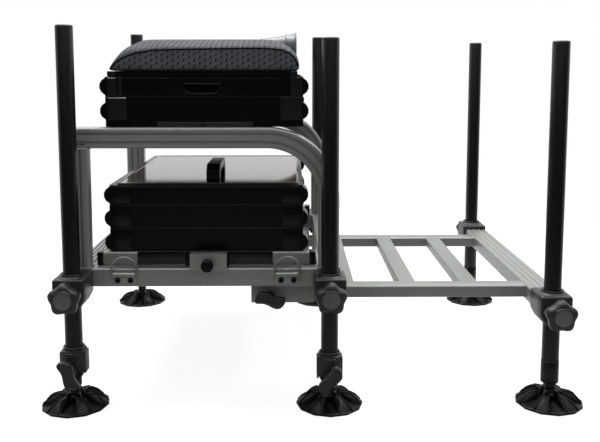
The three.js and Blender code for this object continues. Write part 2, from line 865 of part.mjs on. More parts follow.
// Footplate
function footplateFrame() {
  const end = about(footplateReach + footplate.endAhead, footplate.endWidth);
  const z = [footplate.top - footplate.height, footplate.top];
  const runnerEnds = [footplate.runnerRear, end[0] + overrun];
  const farRunner = acrossBox(nearRunner);
  const runner = (y) => alongX(chamferedSection(y, z, base.chamfer), runnerEnds);
  const inside = [nearRunner[1] - overrun, farRunner[0] + overrun];
  const slatDepth = [footplate.top - footplate.slatThickness, footplate.top];
  const slats = [];
  for (let index = 0; index < footplate.slats; index += 1) {
    const front = footplate.slatFirst + index * footplate.slatPitch;
    const section = chamferedSection([front - footplate.slatWidth, front], slatDepth, base.chamfer);
    slats.push(alongY(section, inside));
  }
  const endTop = footplate.top + footplate.endRise;
  const endSection = chamferedSection(end, [endTop - footplate.endHeight, endTop], base.chamfer);
  const grooveRun = [nearBeam[0] - overrun, farBeam[1] + overrun];
  const grooveDepth = [endTop - footplate.ribDepth, endTop + overrun];
  const grooves = [-footplate.ribPitch, 0, footplate.ribPitch].map((offset) =>
    block(about(middle(end) + offset, footplate.ribWidth), grooveRun, grooveDepth),
  );
  const endBeam = cut(alongY(endSection, [nearBeam[0], farBeam[1]]), ...grooves);
  return join(endBeam, runner(nearRunner), runner(farRunner), ...slats);
}

// Lower stack
function slideOutDeck() {
  const z = from(baseTop + gap, deck.railHeight);
  const x = [deck.rear, deck.front];
  const nearRail = from(nearBeam[0] + arch.depth + gap, deck.railWidth);
  const farRail = acrossBox(nearRail);
  const rails = [nearRail, farRail].map((y) => alongX(chamferedSection(y, z, base.chamfer), x));
  const barDepth = from(z[0] + deck.barRise, deck.barHeight);
  const barSpan = [nearRail[1] - overrun, farRail[0] + overrun];
  const rearBar = from(x[0] + deck.barInset, deck.barWidth);
  const frontBar = from(x[1] - deck.barInset - deck.barWidth, deck.barWidth);
  return join(...rails, block(rearBar, barSpan, barDepth), block(frontBar, barSpan, barDepth));
}

// Half-round bulges at the four corners of a box, standing out of its end walls.
function cornerBulges(ends, span, axisHeight) {
  const inset = trays.bulgeRadius - trays.bulgeRise;
  const corners = [from(span[0], trays.bulgeLength), [span[1] - trays.bulgeLength, span[1]]];
  return [ends[0] + inset, ends[1] - inset].flatMap((x) =>
    corners.map((y) => rodY(trays.bulgeRadius, x, y, axisHeight, trays.bulgeSides)),
  );
}

function openBox(ends, span, z, bulgeRise) {
  const outside = join(block(ends, span, z), ...cornerBulges(ends, span, z[0] + bulgeRise));
  const inside = (range) => [range[0] + trays.wall, range[1] - trays.wall];
  return cut(outside, block(inside(ends), inside(span), [z[0] + trays.wall, z[1] + overrun]));
}

function lidBoard(bottom) {
  const ends = [trays.rear, trays.front];
  const span = [trays.inset, legSpan - trays.inset];
  const top = bottom + lid.thickness;
  const inside = (range) => [range[0] + lid.rim, range[1] - lid.rim];
  const dish = block(inside(ends), inside(span), [top - lid.dish, top + overrun]);
  const board = cut(block(ends, span, [bottom, top]), dish);
  const y = from(lid.handleNear, lid.handleLength);
  const crest = top + lid.handleHeight;
  const shoulder = crest - lid.handleSlope;
  const seat = bottom + gap;
  const profile = shapeOf([
    [y[0], seat],
    [y[1], seat],
    [y[1], shoulder],
    [y[1] - lid.handleSlope, crest],
    [y[0] + lid.handleSlope, crest],
    [y[0], shoulder],
  ]);
  const handle = alongX(profile, about(lid.handleX, lid.handleWidth));
  const reach = about(lid.handleX, lid.handleWidth + overrun);
  const fingers = block(reach, about(middle(y), lid.handleGapLength), from(top, lid.handleGapHeight));
  return join(board, cut(handle, fingers));
}

// Seat pod
function deepTray() {
  const shell = openBox(podEnds, podSpan, from(podBottom, pod.trayHeight), pod.trayBulge);
  const liningX = [pod.recessFrom - pod.wall, pod.recessTo + pod.wall];
  const liningTop = pod.recessTop + pod.wall;
  const lining = block(liningX, from(podSpan[0], pod.recessDepth + pod.wall), [podBottom, liningTop]);
  const recessY = [podSpan[0] - overrun, podSpan[0] + pod.recessDepth];
  const recess = block([pod.recessFrom, pod.recessTo], recessY, [podBottom - overrun, pod.recessTop]);
  return cut(join(shell, lining), recess);
}

function drawerHousing() {
  const z = from(housingBottom, pod.housingHeight);
  const shell = openBox(podEnds, podSpan, z, pod.housingBulge);
  const face = [podSpan[0] - overrun, podSpan[0] + drawer.panelThickness + gap];
  const sill = housingBottom + drawer.panelRise - gap;
  const opening = block([pod.panelRear - gap, pod.panelFront + gap], face, [sill, z[1] + overrun]);
  const lugDepth = [seatBottom - hinge.radius, seatBottom - gap];
  const spread = hinge.knuckle / 2 + gap;
  const lugs = hingeCentres.flatMap((centre) =>
    [from(centre + spread, hinge.lug), from(centre - spread - hinge.lug, hinge.lug)].flatMap((y) => [
      rodY(hinge.radius, hingeX, y, seatBottom, holeSides),
      block([hingeX, pod.rear + overrun], y, lugDepth),
    ]),
  );
  const pins = hingeCentres.map((centre) =>
    rodY(hinge.pin, hingeX, about(centre, hinge.knuckle + hinge.lug), seatBottom, pinSides),
  );
  return join(cut(shell, opening), ...lugs, ...pins);
}

function sideDrawer() {
  const panelY = from(podSpan[0], drawer.panelThickness);
  const panelZ = from(housingBottom + drawer.panelRise, drawer.panelHeight);
  const panel = block([pod.panelRear, pod.panelFront], panelY, panelZ);
  const x = [pod.panelRear + drawer.sideInset, pod.panelFront - drawer.sideInset];
  const y = [panelY[0], podSpan[1] - drawer.boxInset];
  const z = from(housingBottom + drawer.boxRise, drawer.boxHeight);
  const hollowX = [x[0] + drawer.wall, x[1] - drawer.wall];
  const hollow = block(hollowX, [panelY[1], y[1] - drawer.wall], [z[0] + drawer.wall, z[1] + overrun]);
  const pullX = [drawer.pullFrom, drawer.pullTo];
  const pullEnd = panelY[0] + drawer.pullDepth;
  const shellX = [pullX[0] - drawer.wall, pullX[1] + drawer.wall];
  const shellY = [panelY[0] + overrun, pullEnd + drawer.wall];
  const pullShell = block(shellX, shellY, [z[0], drawer.pullHigh + drawer.wall]);
  const recess = block(pullX, [panelY[0] - overrun, pullEnd], [drawer.pullLow, drawer.pullHigh]);
  return cut(join(panel, cut(block(x, y, z), hollow), pullShell), recess);
}

function seatBase() {
  const board = block(podEnds, podSpan, from(seatBottom, pod.seatThickness));
  const knuckleDepth = [seatBottom + gap, seatBottom + hinge.radius];
  const knuckles = hingeCentres.flatMap((centre) => {
    const y = about(centre, hinge.knuckle);
    return [
      rodY(hinge.radius, hingeX, y, seatBottom, holeSides),
      block([hingeX, pod.rear + overrun], y, knuckleDepth),
    ];
  });
  const bores = hingeCentres.map((centre) =>
    rodY(hinge.pin + gap, hingeX, about(centre, hinge.knuckle + overrun), seatBottom, holeSides),
  );
  return cut(join(board, ...knuckles), ...bores);
}

// Soft top: its near and far faces stand upright, its rear and front fall away.
function seatCushion() {
  const x = [cushion.rear, cushion.front];
  const y = [podSpan[0] + cushion.endInset, podSpan[1] - cushion.endInset];
  const steps = [cushion.stepsX, cushion.stepsY, cushion.stepsZ];
  const geometry = new THREE.BoxGeometry(length(x), length(y), cushion.crownHeight, ...steps);
  const points = geometry.getAttribute("position");
  const crownRise = cushion.crownHeight - cushion.edgeHeight;
  for (let i = 0; i < points.count; i += 1) {
    const u = (points.getX(i) * 2) / length(x);
    const v = (points.getY(i) * 2) / length(y);
    const share = points.getZ(i) / cushion.crownHeight + 1 / 2;
    const dome = cushion.edgeHeight + crownRise * Math.sqrt(Math.max(0, 1 - v * v));
    const { power, fallShare } = u < 0 ? cushion.rearCorner : cushion.frontCorner;
    const height = dome * Math.max(cushion.edgeShare, 1 - Math.abs(u) ** power) ** fallShare;
    const drawIn = cushion.drawIn * Math.sin(Math.PI * share);
    const px = middle(x) + u * (length(x) / 2 - drawIn);
    const py = middle(y) + v * (length(y) / 2 - drawIn);
    points.setXYZ(i, px, py, cushionBottom + share * height);
  }
  return join(geometry);
}

// A cup that opens forwards on an arm from the seat's far edge.
function flaredCup() {
  const neck = cup.beadRadius - cup.beadRise;
  const outline = [
    [0, cup.tailX],
    [cup.tailRadius, cup.tailX],
    [cup.throatRadius, (cup.tailX + cup.beadX) / 2],
    [neck, cup.beadX - cup.beadWidth],
    [cup.beadRadius, cup.beadX],
    [neck + cup.beadRise / 2, cup.beadX + cup.beadWidth],
    [cup.mouthRadius, cup.mouthX],
    [cup.mouthRadius - cup.wall, cup.mouthX],
    [neck - cup.wall, cup.beadX],
    [cup.tailRadius - cup.wall, cup.boreFloor],
    [0, cup.boreFloor],
  ];
  const shell = turned(outline, cup.sides).rotateY(quarterTurn).translate(0, cupAxisY, cupAxisZ);
  const edge = podSpan[1] + gap;
  const armTop = cupAxisZ - cup.tailRadius;
  const half = cup.armThickness / 2;
  const profile = shapeOf([
    [edge, seatBottom],
    [edge + cup.armThickness, seatBottom],
    [cupAxisY + half, armTop],
    [cupAxisY - half, armTop],
    [edge, seatBottom + pod.seatThickness],
  ]);
  return join(shell, alongX(profile, [cup.armFrom, cup.armTo]));
}

// The whole box
const root = new THREE.Group();
root.name = "seat_box";
root.position.set(-footplateReach / 2, -legSpan / 2, 0);

function piece(name, geometry, material, parent = root) {
  const mesh = new THREE.Mesh(geometry, material);
  mesh.name = name;
  parent.add(mesh);
}

// A place on the near or far side where -Y leads away from the box.
function station(x, far) {
  const group = new THREE.Group();
  group.position.set(x, far ? legSpan : 0, 0);
  group.rotation.z = far ? Math.PI : 0;
  root.add(group);
  return group;
}

piece("base_frame", baseFrame(), finish.aluminium);
const nearArch = sideArch();
piece("side_arch_near", nearArch, finish.aluminium);
piece("side_arch_far", onFarSide(nearArch), finish.aluminium);
for (const [end, x] of [["rear", bracket.rearCentre], ["front", bracket.frontCentre]]) {
  piece(`ring_bracket_${end}`, ringBracket(x), finish.steel);
  piece(`d_ring_${end}`, ringLoop(x), finish.steel);
}
piece("latch_plunger", springPlunger(), finish.moulded);
piece("footplate", footplateFrame(), finish.aluminium);
piece("slide_deck", slideOutDeck(), finish.aluminium);

for (const leg of legs) {
  const place = station(leg.x, leg.far);
  const onFootplate = leg.x === footplateReach;
  const clampTop = onFootplate ? clamp.frontTop : clamp.boxTop;
  piece(`leg_clamp_${leg.name}`, legClamp(clampTop), finish.moulded, place);
  piece(`clamp_knob_${leg.name}`, clampKnob(clampTop), finish.moulded, place);
  piece(`mud_foot_${leg.name}`, mudFoot(), finish.moulded, place);
  if (onFootplate) {
    piece(`leg_tube_${leg.name}`, legTube(leg.lower, leg.top), finish.anodised, place);
    piece(`leg_stub_${leg.name}`, frontStub(leg.lower), finish.anodised, place);
    continue;
  }
  const tubeBottom = leg.lower - collar.socketDepth + gap;
  piece(`leg_tube_${leg.name}`, legTube(tubeBottom, leg.top), finish.anodised, place);
  piece(`inner_leg_${leg.name}`, innerLeg(tubeBottom), finish.anodised, place);
  piece(`lock_collar_${leg.name}`, lockCollar(leg.lower), finish.moulded, place);
  const grip = wingKnob(-collar.knobFace, -collar.bossReach - gap, -inner.headRadius - gap, leg.wingTilt);
  grip.translate(0, 0, leg.lower - collar.screwDrop);
  piece(`wing_knob_${leg.name}`, grip, finish.moulded, place);
}

for (const far of [false, true]) {
  const grip = wingKnob(sleeve.knobFace, sleeveFace - gap, nearRunner[0] - gap, quarterTurn);
  grip.translate(0, 0, sleeve.screwHeight);
  piece(`sleeve_knob_${far ? "far" : "near"}`, grip, finish.moulded, station(sleeve.screwX, far));
}

let trayBottom = baseTop + gap + deck.railHeight + gap;
for (const [level, height] of Object.entries(trayHeight)) {
  const span = [trays.inset, legSpan - trays.inset];
  const box = openBox([trays.rear, trays.front], span, from(trayBottom, height), trays.bulgeHeight);
  piece(`tray_${level}`, box, finish.tray);
  trayBottom += height + gap;
}
piece("tray_lid", lidBoard(trayBottom), finish.gloss);

piece("pod_tray", deepTray(), finish.tray);
piece("drawer_housing", drawerHousing(), finish.tray);
piece("side_drawer", sideDrawer(), finish.tray);
piece("seat_base", seatBase(), finish.tray);
piece("seat_cushion", seatCushion(), finish.fabric);
piece("flared_cup", flaredCup(), finish.greyPlastic);

export default root;
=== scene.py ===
"""Fishing seat box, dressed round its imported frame.

Sizes are in millimetres in the part's own places until a mesh is finished: X runs from the rear legs to the
footplate, Y from the near legs to the far legs, Z up from the ground. A finished mesh is in metres.
"""

from __future__ import annotations

import logging
import math
from collections.abc import Iterable, Sequence
from dataclasses import dataclass
from enum import Enum

import bmesh
import bpy
from mathutils import Matrix, Vector
from mathutils.bvhtree import BVHTree


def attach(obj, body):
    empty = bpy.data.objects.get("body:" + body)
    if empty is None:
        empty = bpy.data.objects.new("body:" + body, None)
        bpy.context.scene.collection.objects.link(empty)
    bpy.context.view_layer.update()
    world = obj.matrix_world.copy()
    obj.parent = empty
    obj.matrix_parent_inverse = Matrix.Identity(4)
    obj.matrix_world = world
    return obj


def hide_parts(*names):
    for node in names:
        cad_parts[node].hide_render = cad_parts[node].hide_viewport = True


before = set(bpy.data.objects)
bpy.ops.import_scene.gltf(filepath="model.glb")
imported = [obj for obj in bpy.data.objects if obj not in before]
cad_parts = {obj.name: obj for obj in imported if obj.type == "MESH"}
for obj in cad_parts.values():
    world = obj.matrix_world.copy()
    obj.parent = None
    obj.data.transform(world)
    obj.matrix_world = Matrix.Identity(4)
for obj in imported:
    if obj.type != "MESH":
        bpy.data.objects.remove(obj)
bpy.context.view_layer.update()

Span = tuple[float, float]
Point = tuple[float, float]
Colour = tuple[float, float, float]

log = logging.getLogger("seat_box")

LEG_SPAN = 640.0
REACH = 842.0
LEG_PITCH = 450.0
RING_CENTRES = {"rear": 83.3, "front": 375.6}
MILLIMETRE = 0.001
GAP = 0.3
TO_FRAME = Matrix.Scale(MILLIMETRE, 4) @ Matrix.Translation((-REACH / 2, -LEG_SPAN / 2, 0))
TO_PART = TO_FRAME.inverted()
OUTWARD = Matrix.Rotation(math.pi / 2, 4, "X")  # turns +Z to -Y, so a piece built upwards faces the near side
FULL_TURN = 2 * math.pi
WELD = 1e-4
BORE_STEPS = 40
FINE = 48
COARSE = 24
CAP_INSET = 0.8
SMOOTH_ANGLE = math.radians(38)
SHARP_ANGLE = math.radians(28)


class Slot(Enum):
    """Material slots of the record."""

    FRAME = "frame_aluminium"
    STEEL = "fitting_steel"
    ANODISED = "leg_anodised"
    CLAMP = "clamp_moulding"
    FOOT = "foot_moulding"
    TRAY = "tray_black"
    LID = "lid_gloss"
    FABRIC = "cushion_fabric"
    CUP = "cup_grey"


class Side(Enum):
    """The two long sides of the box."""

    NEAR = "near"
    FAR = "far"


class Plane(Enum):
    """The plane that a flat outline is drawn in."""

    XZ = "xz"
    YZ = "yz"


def put(tree: bpy.types.NodeTree, target: bpy.types.NodeSocket, value: object) -> None:
    """Sets an input, or links a socket to it.

    Args:
        tree: The tree that it is in.
        target: The input.
        value: The value or the socket.
    """
    if isinstance(value, bpy.types.NodeSocket):
        tree.links.new(value, target)
    else:
        target.default_value = value


def add_node(tree: bpy.types.NodeTree, kind: str, values: dict[str | int, object] | None = None,
             **settings: object) -> bpy.types.Node:
    """Adds a node.

    Args:
        tree: The tree that it is added to.
        kind: Blender's type name, without the leading ShaderNode.
        values: Input values or sockets to link, by input name or place.
        settings: Properties of the node itself.

    Returns:
        The new node.
    """
    node = tree.nodes.new(f"ShaderNode{kind}")
    for key, value in settings.items():
        setattr(node, key, value)
    for key, value in (values or {}).items():
        put(tree, node.inputs[key], value)
    return node


# Finishes
class Recipe:
    """The nodes of one material, added one by one."""

    def __init__(self, name: str) -> None:
        """Starts a material with its shader.

        Args:
            name: The material's name.
        """
        self.material = bpy.data.materials.new(name)
        self.material.use_nodes = True
        self.tree = self.material.node_tree
        self.shader = self.tree.nodes["Principled BSDF"]

    def add(self, kind: str, values: dict[str | int, object] | None = None,
            **settings: object) -> bpy.types.Node:
        """Adds a node to the material, as add_node does."""
        return add_node(self.tree, kind, values, **settings)

    def place(self, scale: tuple[float, float, float] = (1, 1, 1),
              turn: float = 0.0) -> bpy.types.NodeSocket:
        """Gives object coordinates, stretched and turned.

        Args:
            scale: Stretch along each axis, so that 1 is one cell in a metre.
            turn: Turn about Y in radians.

        Returns:
            The socket with the coordinates.
        """
        source = self.add("TexCoord").outputs["Object"]
        mapping = self.add("Mapping", {"Vector": source, "Scale": scale, "Rotation": (0, turn, 0)})
        return mapping.outputs["Vector"]

    def noise(self, vector: bpy.types.NodeSocket, scale: float, detail: float = 4.0) -> bpy.types.NodeSocket:
        """Adds noise.

        Args:
            vector: Coordinates.
            scale: Cells in a unit of the coordinates.
            detail: Octaves.

        Returns:
            The socket with a value near one half.
        """
        node = self.add("TexNoise", {"Vector": vector, "Scale": scale, "Detail": detail})
        return node.outputs[0]

    def ranged(self, value: bpy.types.NodeSocket, source: Span,
               target: Span = (0.0, 1.0)) -> bpy.types.NodeSocket:
        """Moves a value from one range to another, and clamps it.

        Args:
            value: The value.
            source: Range that it has.
            target: Range that it gets.

        Returns:
            The socket with the new value.
        """
        places = {"Value": value, "From Min": source[0], "From Max": source[1], "To Min": target[0]}
        return self.add("MapRange", {**places, "To Max": target[1]}).outputs[0]

    def sum(self, kind: str, first: object, second: object) -> bpy.types.NodeSocket:
        """Works out one step of arithmetic.

        Args:
            kind: The operation.
            first: Its first value or socket.
            second: Its second value or socket.

        Returns:
            The socket with the result.
        """
        return self.add("Math", {0: first, 1: second}, operation=kind).outputs[0]

    def blended(self, share: bpy.types.NodeSocket, low: Colour | bpy.types.NodeSocket,
                high: Colour) -> bpy.types.NodeSocket:
        """Blends two colours.

        Args:
            share: Share of the second colour.
            low: First colour, linear, or the socket that has it.
            high: Second colour, linear.

        Returns:
            The socket with the colour.
        """
        first = low if isinstance(low, bpy.types.NodeSocket) else (*low, 1)
        return self.add("Mix", {0: share, 6: first, 7: (*high, 1)}, data_type="RGBA").outputs[2]

    def bump(self, height: bpy.types.NodeSocket, distance: float, strength: float = 1.0) -> None:
        """Raises the surface's normals, over any bump that is there already.

        Args:
            height: Height from 0 to 1.
            distance: Real height in metres.
            strength: Share of the effect.
        """
        node = self.add("Bump", {"Height": height, "Distance": distance, "Strength": strength})
        before = self.shader.inputs["Normal"].links
        if before:
            self.tree.links.new(before[0].from_socket, node.inputs["Normal"])
        self.tree.links.new(node.outputs[0], self.shader.inputs["Normal"])

    def feed(self, **sockets: object) -> None:
        """Sets or links inputs of the shader, named with underscores for spaces."""
        for key, value in sockets.items():
            put(self.tree, self.shader.inputs[key.replace("_", " ")], value)


def shade(colour: Colour, factor: float) -> Colour:
    """Gives a colour made lighter or darker.

    Args:
        colour: Linear colour.
        factor: What to multiply it by.

    Returns:
        The new colour.
    """
    return tuple(min(1.0, part * factor) for part in colour)


@dataclass(frozen=True)
class Finish:
    """What a surface is made of, as a material that is made once."""

    name: str

    def material(self) -> bpy.types.Material:
        """Makes the material, or finds it again.

        Returns:
            The material.
        """
        if self.name in bpy.data.materials:
            return bpy.data.materials[self.name]
        recipe = Recipe(self.name)
        self.paint(recipe)
        return recipe.material

    def paint(self, recipe: Recipe) -> None:
        """Adds the finish's own nodes.

        Args:
            recipe: The nodes of its material.
        """
        raise NotImplementedError


@dataclass(frozen=True)
class SatinMetal(Finish):
    """Anodised or drawn metal: fine lines along the profile, faint clouding and small scuffs."""

    colour: Colour
    metallic: float
    roughness: float
    lines: tuple[float, float, float]
    scuff: float = 1.35
    edge: float = 1.0

    def paint(self, recipe: Recipe) -> None:
        """Adds the finish's own nodes.

        Args:
            recipe: The nodes of its material.
        """
        everywhere = recipe.place()
        clouds = recipe.noise(everywhere, 9.0, 3.0)
        drawn = recipe.noise(recipe.place(self.lines), 1.0, 3.0)
        scuffs = recipe.ranged(recipe.noise(everywhere, 210.0, 6.0), (0.66, 0.74))
        base = recipe.blended(recipe.ranged(clouds, (0.3, 0.7)), shade(self.colour, 0.93),
                              shade(self.colour, 1.07))
        worn = recipe.blended(scuffs, base, shade(self.colour, self.scuff))
        rubbed = recipe.ranged(recipe.add("NewGeometry").outputs["Pointiness"], (0.52, 0.60), (0.0, 0.5))
        edged = recipe.blended(rubbed, worn, shade(self.colour, self.scuff * self.edge))
        gloss = recipe.ranged(drawn, (0.25, 0.75), (self.roughness - 0.07, self.roughness + 0.07))
        recipe.feed(Base_Color=edged, Metallic=self.metallic, Roughness=gloss)
        recipe.bump(drawn, 0.00004, 0.6)
        recipe.bump(recipe.noise(everywhere, 1400.0, 2.0), 0.00003, 0.4)


@dataclass(frozen=True)
class MouldedPlastic(Finish):
    """Moulded plastic with a fine spark grain, faint flow clouding and a few dull rubs."""

    colour: Colour
    roughness: float
    grain: float = 0.00005
    grain_scale: float = 1900.0
    rub: float = 1.6
    coat: float = 0.0
    mirror: float = 0.5

    def paint(self, recipe: Recipe) -> None:
        """Adds the finish's own nodes.

        Args:
            recipe: The nodes of its material.
        """
        everywhere = recipe.place()
        clouds = recipe.ranged(recipe.noise(everywhere, 22.0, 4.0), (0.35, 0.65))
        streaks = recipe.noise(recipe.place((40, 90, 160), 0.5), 1.0, 5.0)
        rubs = recipe.ranged(streaks, (0.6, 0.75))
        base = recipe.blended(clouds, shade(self.colour, 0.88), shade(self.colour, 1.12))
        dulled = recipe.blended(rubs, base, shade(self.colour, self.rub))
        gloss = recipe.ranged(rubs, (0.0, 1.0), (self.roughness, min(1.0, self.roughness + 0.12)))
        recipe.feed(Base_Color=dulled, Roughness=gloss, Coat_Weight=self.coat, Coat_Roughness=0.12,
                    Specular_IOR_Level=self.mirror)
        recipe.bump(recipe.noise(everywhere, self.grain_scale, 2.0), self.grain, 0.7)


@dataclass(frozen=True)
class GlossPlastic(Finish):
    """Polished plastic: a mirror with faint long waves and hairline scratches."""

    colour: Colour
    roughness: float

    def paint(self, recipe: Recipe) -> None:
        """Adds the finish's own nodes.

        Args:
            recipe: The nodes of its material.
        """
        everywhere = recipe.place()
        hairs = recipe.noise(recipe.place((14, 420, 30), 0.2), 1.0, 6.0)
        gloss = recipe.ranged(hairs, (0.5, 0.75), (self.roughness, self.roughness + 0.1))
        dust = recipe.ranged(recipe.noise(everywhere, 30.0, 5.0), (0.3, 0.8))
        tint = recipe.blended(dust, self.colour, shade(self.colour, 2.0))
        recipe.feed(Base_Color=tint, Roughness=gloss, IOR=1.49)
        recipe.bump(recipe.noise(everywhere, 5.0, 1.0), 0.0003, 0.15)


@dataclass(frozen=True)
class EmbossedFabric(Finish):
    """Upholstery cloth pressed into rows of plump pads with slanting slots between, under fine threads; its
    colour is darker in the slots, which is painted shade, and lightest on the raised flank below each slot,
    which is a painted highlight.
    """

    high: Colour
    low: Colour
    pitch: float = 0.0190
    row: float = 0.0052
    slant: float = 1.0
    slot: tuple[float, float] = (0.0036, 0.0016)
    flank: float = -1.7

    def pads(self, recipe: Recipe) -> bpy.types.NodeSocket:
        """Draws the rows of pads, each row moved by half a pad.

        Args:
            recipe: The material that they are drawn in.

        Returns:
            The socket with 0 in a slot, one half on a pad and 1 on the raised flank beside a slot.
        """
        parts = recipe.add("SeparateXYZ", {0: recipe.add("TexCoord").outputs["Object"]}).outputs
        rise = recipe.sum("DIVIDE", recipe.sum("ADD", parts[1], parts[2]), self.row)
        shift = recipe.sum("MULTIPLY", recipe.sum("FLOOR", rise, 0.0), 0.5)
        run = recipe.sum("ADD", recipe.sum("DIVIDE", parts[0], self.pitch), shift)
        across, along = (
            recipe.sum("MULTIPLY", recipe.sum("SUBTRACT", recipe.sum("FRACT", value, 0.0), 0.5), size)
            for value, size in ((run, self.pitch), (rise, self.row)))
        flat = recipe.add("CombineXYZ", {0: across, 1: along}).outputs[0]
        stretch = {"Vector": flat, "Rotation": (0, 0, self.slant), "Scale": (*self.slot, 1)}
        local = recipe.add("Mapping", stretch, vector_type="TEXTURE").outputs[0]
        beside = recipe.add("VectorMath", {0: local, 1: (0, self.flank, 0)}, operation="ADD").outputs[0]
        away = [recipe.add("VectorMath", {0: spot}, operation="LENGTH").outputs["Value"]
                for spot in (local, beside)]
        slot, raised = (recipe.ranged(spot, (0.3, 1.3), (0.5, 0.0)) for spot in away)
        return recipe.sum("ADD", recipe.sum("SUBTRACT", 0.5, slot), raised)

    def paint(self, recipe: Recipe) -> None:
        """Adds the finish's own nodes.

        Args:
            recipe: The nodes of its material.
        """
        pad = self.pads(recipe)
        threads = recipe.noise(recipe.place((1300, 1300, 1300)), 1.0, 2.0)
        worn = recipe.ranged(recipe.noise(recipe.place(), 26.0, 4.0), (0.3, 0.7), (0.8, 1.2))
        grain = recipe.ranged(threads, (0.3, 0.7), (0.55, 1.25))
        # the pad map sets the colour: painted shade in the slots and a painted highlight on the raised flanks,
        # under the threads' grain and a random tone
        share = recipe.sum("MULTIPLY", recipe.sum("MULTIPLY", pad, grain), worn)
        gloss = recipe.ranged(pad, (0.0, 1.0), (0.9, 0.55))
        recipe.feed(Base_Color=recipe.blended(share, self.low, self.high), Roughness=gloss, Sheen_Weight=0.03,
                    Sheen_Roughness=0.4, Specular_IOR_Level=0.15)
        recipe.bump(pad, 0.0024, 1.0)
        recipe.bump(threads, 0.0002, 0.7)


FRAME_GREY = SatinMetal("grey_anodised_profile", (0.31, 0.32, 0.30), 0.35, 0.42, (700, 60, 700), edge=1.2)
ARCH_GREY = SatinMetal("grey_anodised_arch", (0.31, 0.32, 0.30), 0.35, 0.42, (60, 900, 900), edge=1.2)
STEEL = SatinMetal("dull_plated_steel", (0.305, 0.32, 0.305), 0.45, 0.36, (200, 200, 200), edge=1.2)
# grey metal laid on the black casings' top slants: a painted highlight of the overhead light, not a real trim
PAINTED_HIGHLIGHT_STRIP = SatinMetal("painted_highlight_strip", (0.33, 0.33, 0.34), 0.6, 0.42, (60, 700, 700))
LEG_BLACK = SatinMetal("black_anodised_tube", (0.0060, 0.0050, 0.0053), 0.2, 0.36, (900, 900, 30), scuff=2.2)
CLAMP_BLACK = MouldedPlastic("black_glass_filled_nylon", (0.0270, 0.0270, 0.0290), 0.42)
DISC_GREY = MouldedPlastic("grey_disc_plastic", (0.1300, 0.1270, 0.1240), 0.36, grain=0.00002)
FOOT_BLACK = MouldedPlastic("black_foot_moulding", (0.0030, 0.0030, 0.0032), 0.42, mirror=0.2)
# dark grey plastic for the pod's foot strips, and also a painted shade sheet over the deck's near rail
PANEL_GREY_AND_PAINTED_SHADE = MouldedPlastic("dark_panel_and_painted_shade", (0.0300, 0.0300, 0.0310), 0.42, grain=0.00003)
TRAY_BLACK = MouldedPlastic("black_tray_plastic", (0.0020, 0.0019, 0.0019), 0.36, grain=0.00003, mirror=0.28)
CASING_BLACK = MouldedPlastic("black_casing_plastic", (0.0090, 0.0090, 0.0093), 0.42, grain=0.00003,
                              mirror=0.4)
CAP_BLACK = MouldedPlastic("black_cap_plastic", (0.0034, 0.0034, 0.0036), 0.30, mirror=0.34)
LID_GLOSS = GlossPlastic("gloss_black_lid", (0.0400, 0.0260, 0.0170), 0.06)
CUP_GREY = MouldedPlastic("grey_cup_plastic", (0.205, 0.212, 0.216), 0.24, grain=0.00001, rub=1.1, coat=0.4)
FABRIC = EmbossedFabric("embossed_cushion_cloth", (0.245, 0.257, 0.280), (0.014, 0.015, 0.018))
PIPING = MouldedPlastic("black_piping_vinyl", (0.0030, 0.0030, 0.0033), 0.6, grain=0.00008, grain_scale=900.0,
                        mirror=0.1)
BOLT_BLACK = SatinMetal("black_oxide_bolt", (0.010, 0.010, 0.011), 0.4, 0.3, (300, 300, 300), scuff=1.8)


# Shapes between stated places
def sharp_edges(mesh: bmesh.types.BMesh, angle: float = SHARP_ANGLE) -> list[bmesh.types.BMEdge]:
    """Finds the edges that two faces meet at sharply.

    Args:
        mesh: The mesh.
        angle: Least angle between the faces, in radians.

    Returns:
        The edges.
    """
    return [edge for edge in mesh.edges if len(edge.link_faces) == 2 and edge.calc_face_angle(0.0) > angle]


def rounded(mesh: bmesh.types.BMesh, radius: float, segments: int = 2,
            edges: Iterable[bmesh.types.BMEdge] | None = None) -> bmesh.types.BMesh:
    """Rounds edges.

    Args:
        mesh: The mesh, which is changed.
        radius: How far the rounding reaches from the edge.
        segments: Facets of the rounding.
        edges: The edges, or all the sharp ones.

    Returns:
        The same mesh.
    """
    chosen = list(sharp_edges(mesh) if edges is None else edges)
    bmesh.ops.bevel(mesh, geom=chosen, offset=radius, offset_type="OFFSET", segments=segments, profile=0.5,
                    affect="EDGES", clamp_overlap=True, material=-1)
    return mesh


def shrunk(span: Span, by: float) -> Span:
    """Gives a span made shorter at both ends, or longer by less than nothing."""
    return span[0] + by, span[1] - by


def arc(radius: float, quarters: Span, steps: int, centre: Point = (0.0, 0.0)) -> list[Point]:
    """Gives points along an arc.

    Args:
        radius: Its radius.
        quarters: Where it starts and ends, in quarter turns.
        steps: Its facets.
        centre: Its centre.

    Returns:
        The points.
    """
    start, end = quarters
    angles = [math.pi / 2 * (start + (end - start) * step / steps) for step in range(steps + 1)]
    return [(centre[0] + radius * math.cos(turn), centre[1] + radius * math.sin(turn)) for turn in angles]


def profile(base: float, *points: Point) -> list[Point]:
    """Gives a profile's points by how far they stand over a base.

    Args:
        base: The height that they are counted from.
        points: The radius and the rise of each.

    Returns:
        The points.
    """
    return [(radius, base + rise) for radius, rise in points]


def block(x: Span, y: Span, z: Span, radius: float = 0.6, segments: int = 2) -> bmesh.types.BMesh:
    """Makes a box with rounded edges.

    Args:
        x: Its span along X.
        y: Its span along Y.
        z: Its span along Z.
        radius: Rounding of its edges.
        segments: Facets of the rounding.

    Returns:
        The mesh.
    """
    mesh = bmesh.new()
    bmesh.ops.create_cube(mesh, size=1)
    bmesh.ops.scale(mesh, vec=(x[1] - x[0], y[1] - y[0], z[1] - z[0]), verts=mesh.verts)
    bmesh.ops.translate(mesh, vec=(sum(x) / 2, sum(y) / 2, sum(z) / 2), verts=mesh.verts)
    return rounded(mesh, radius, segments, mesh.edges) if radius else mesh


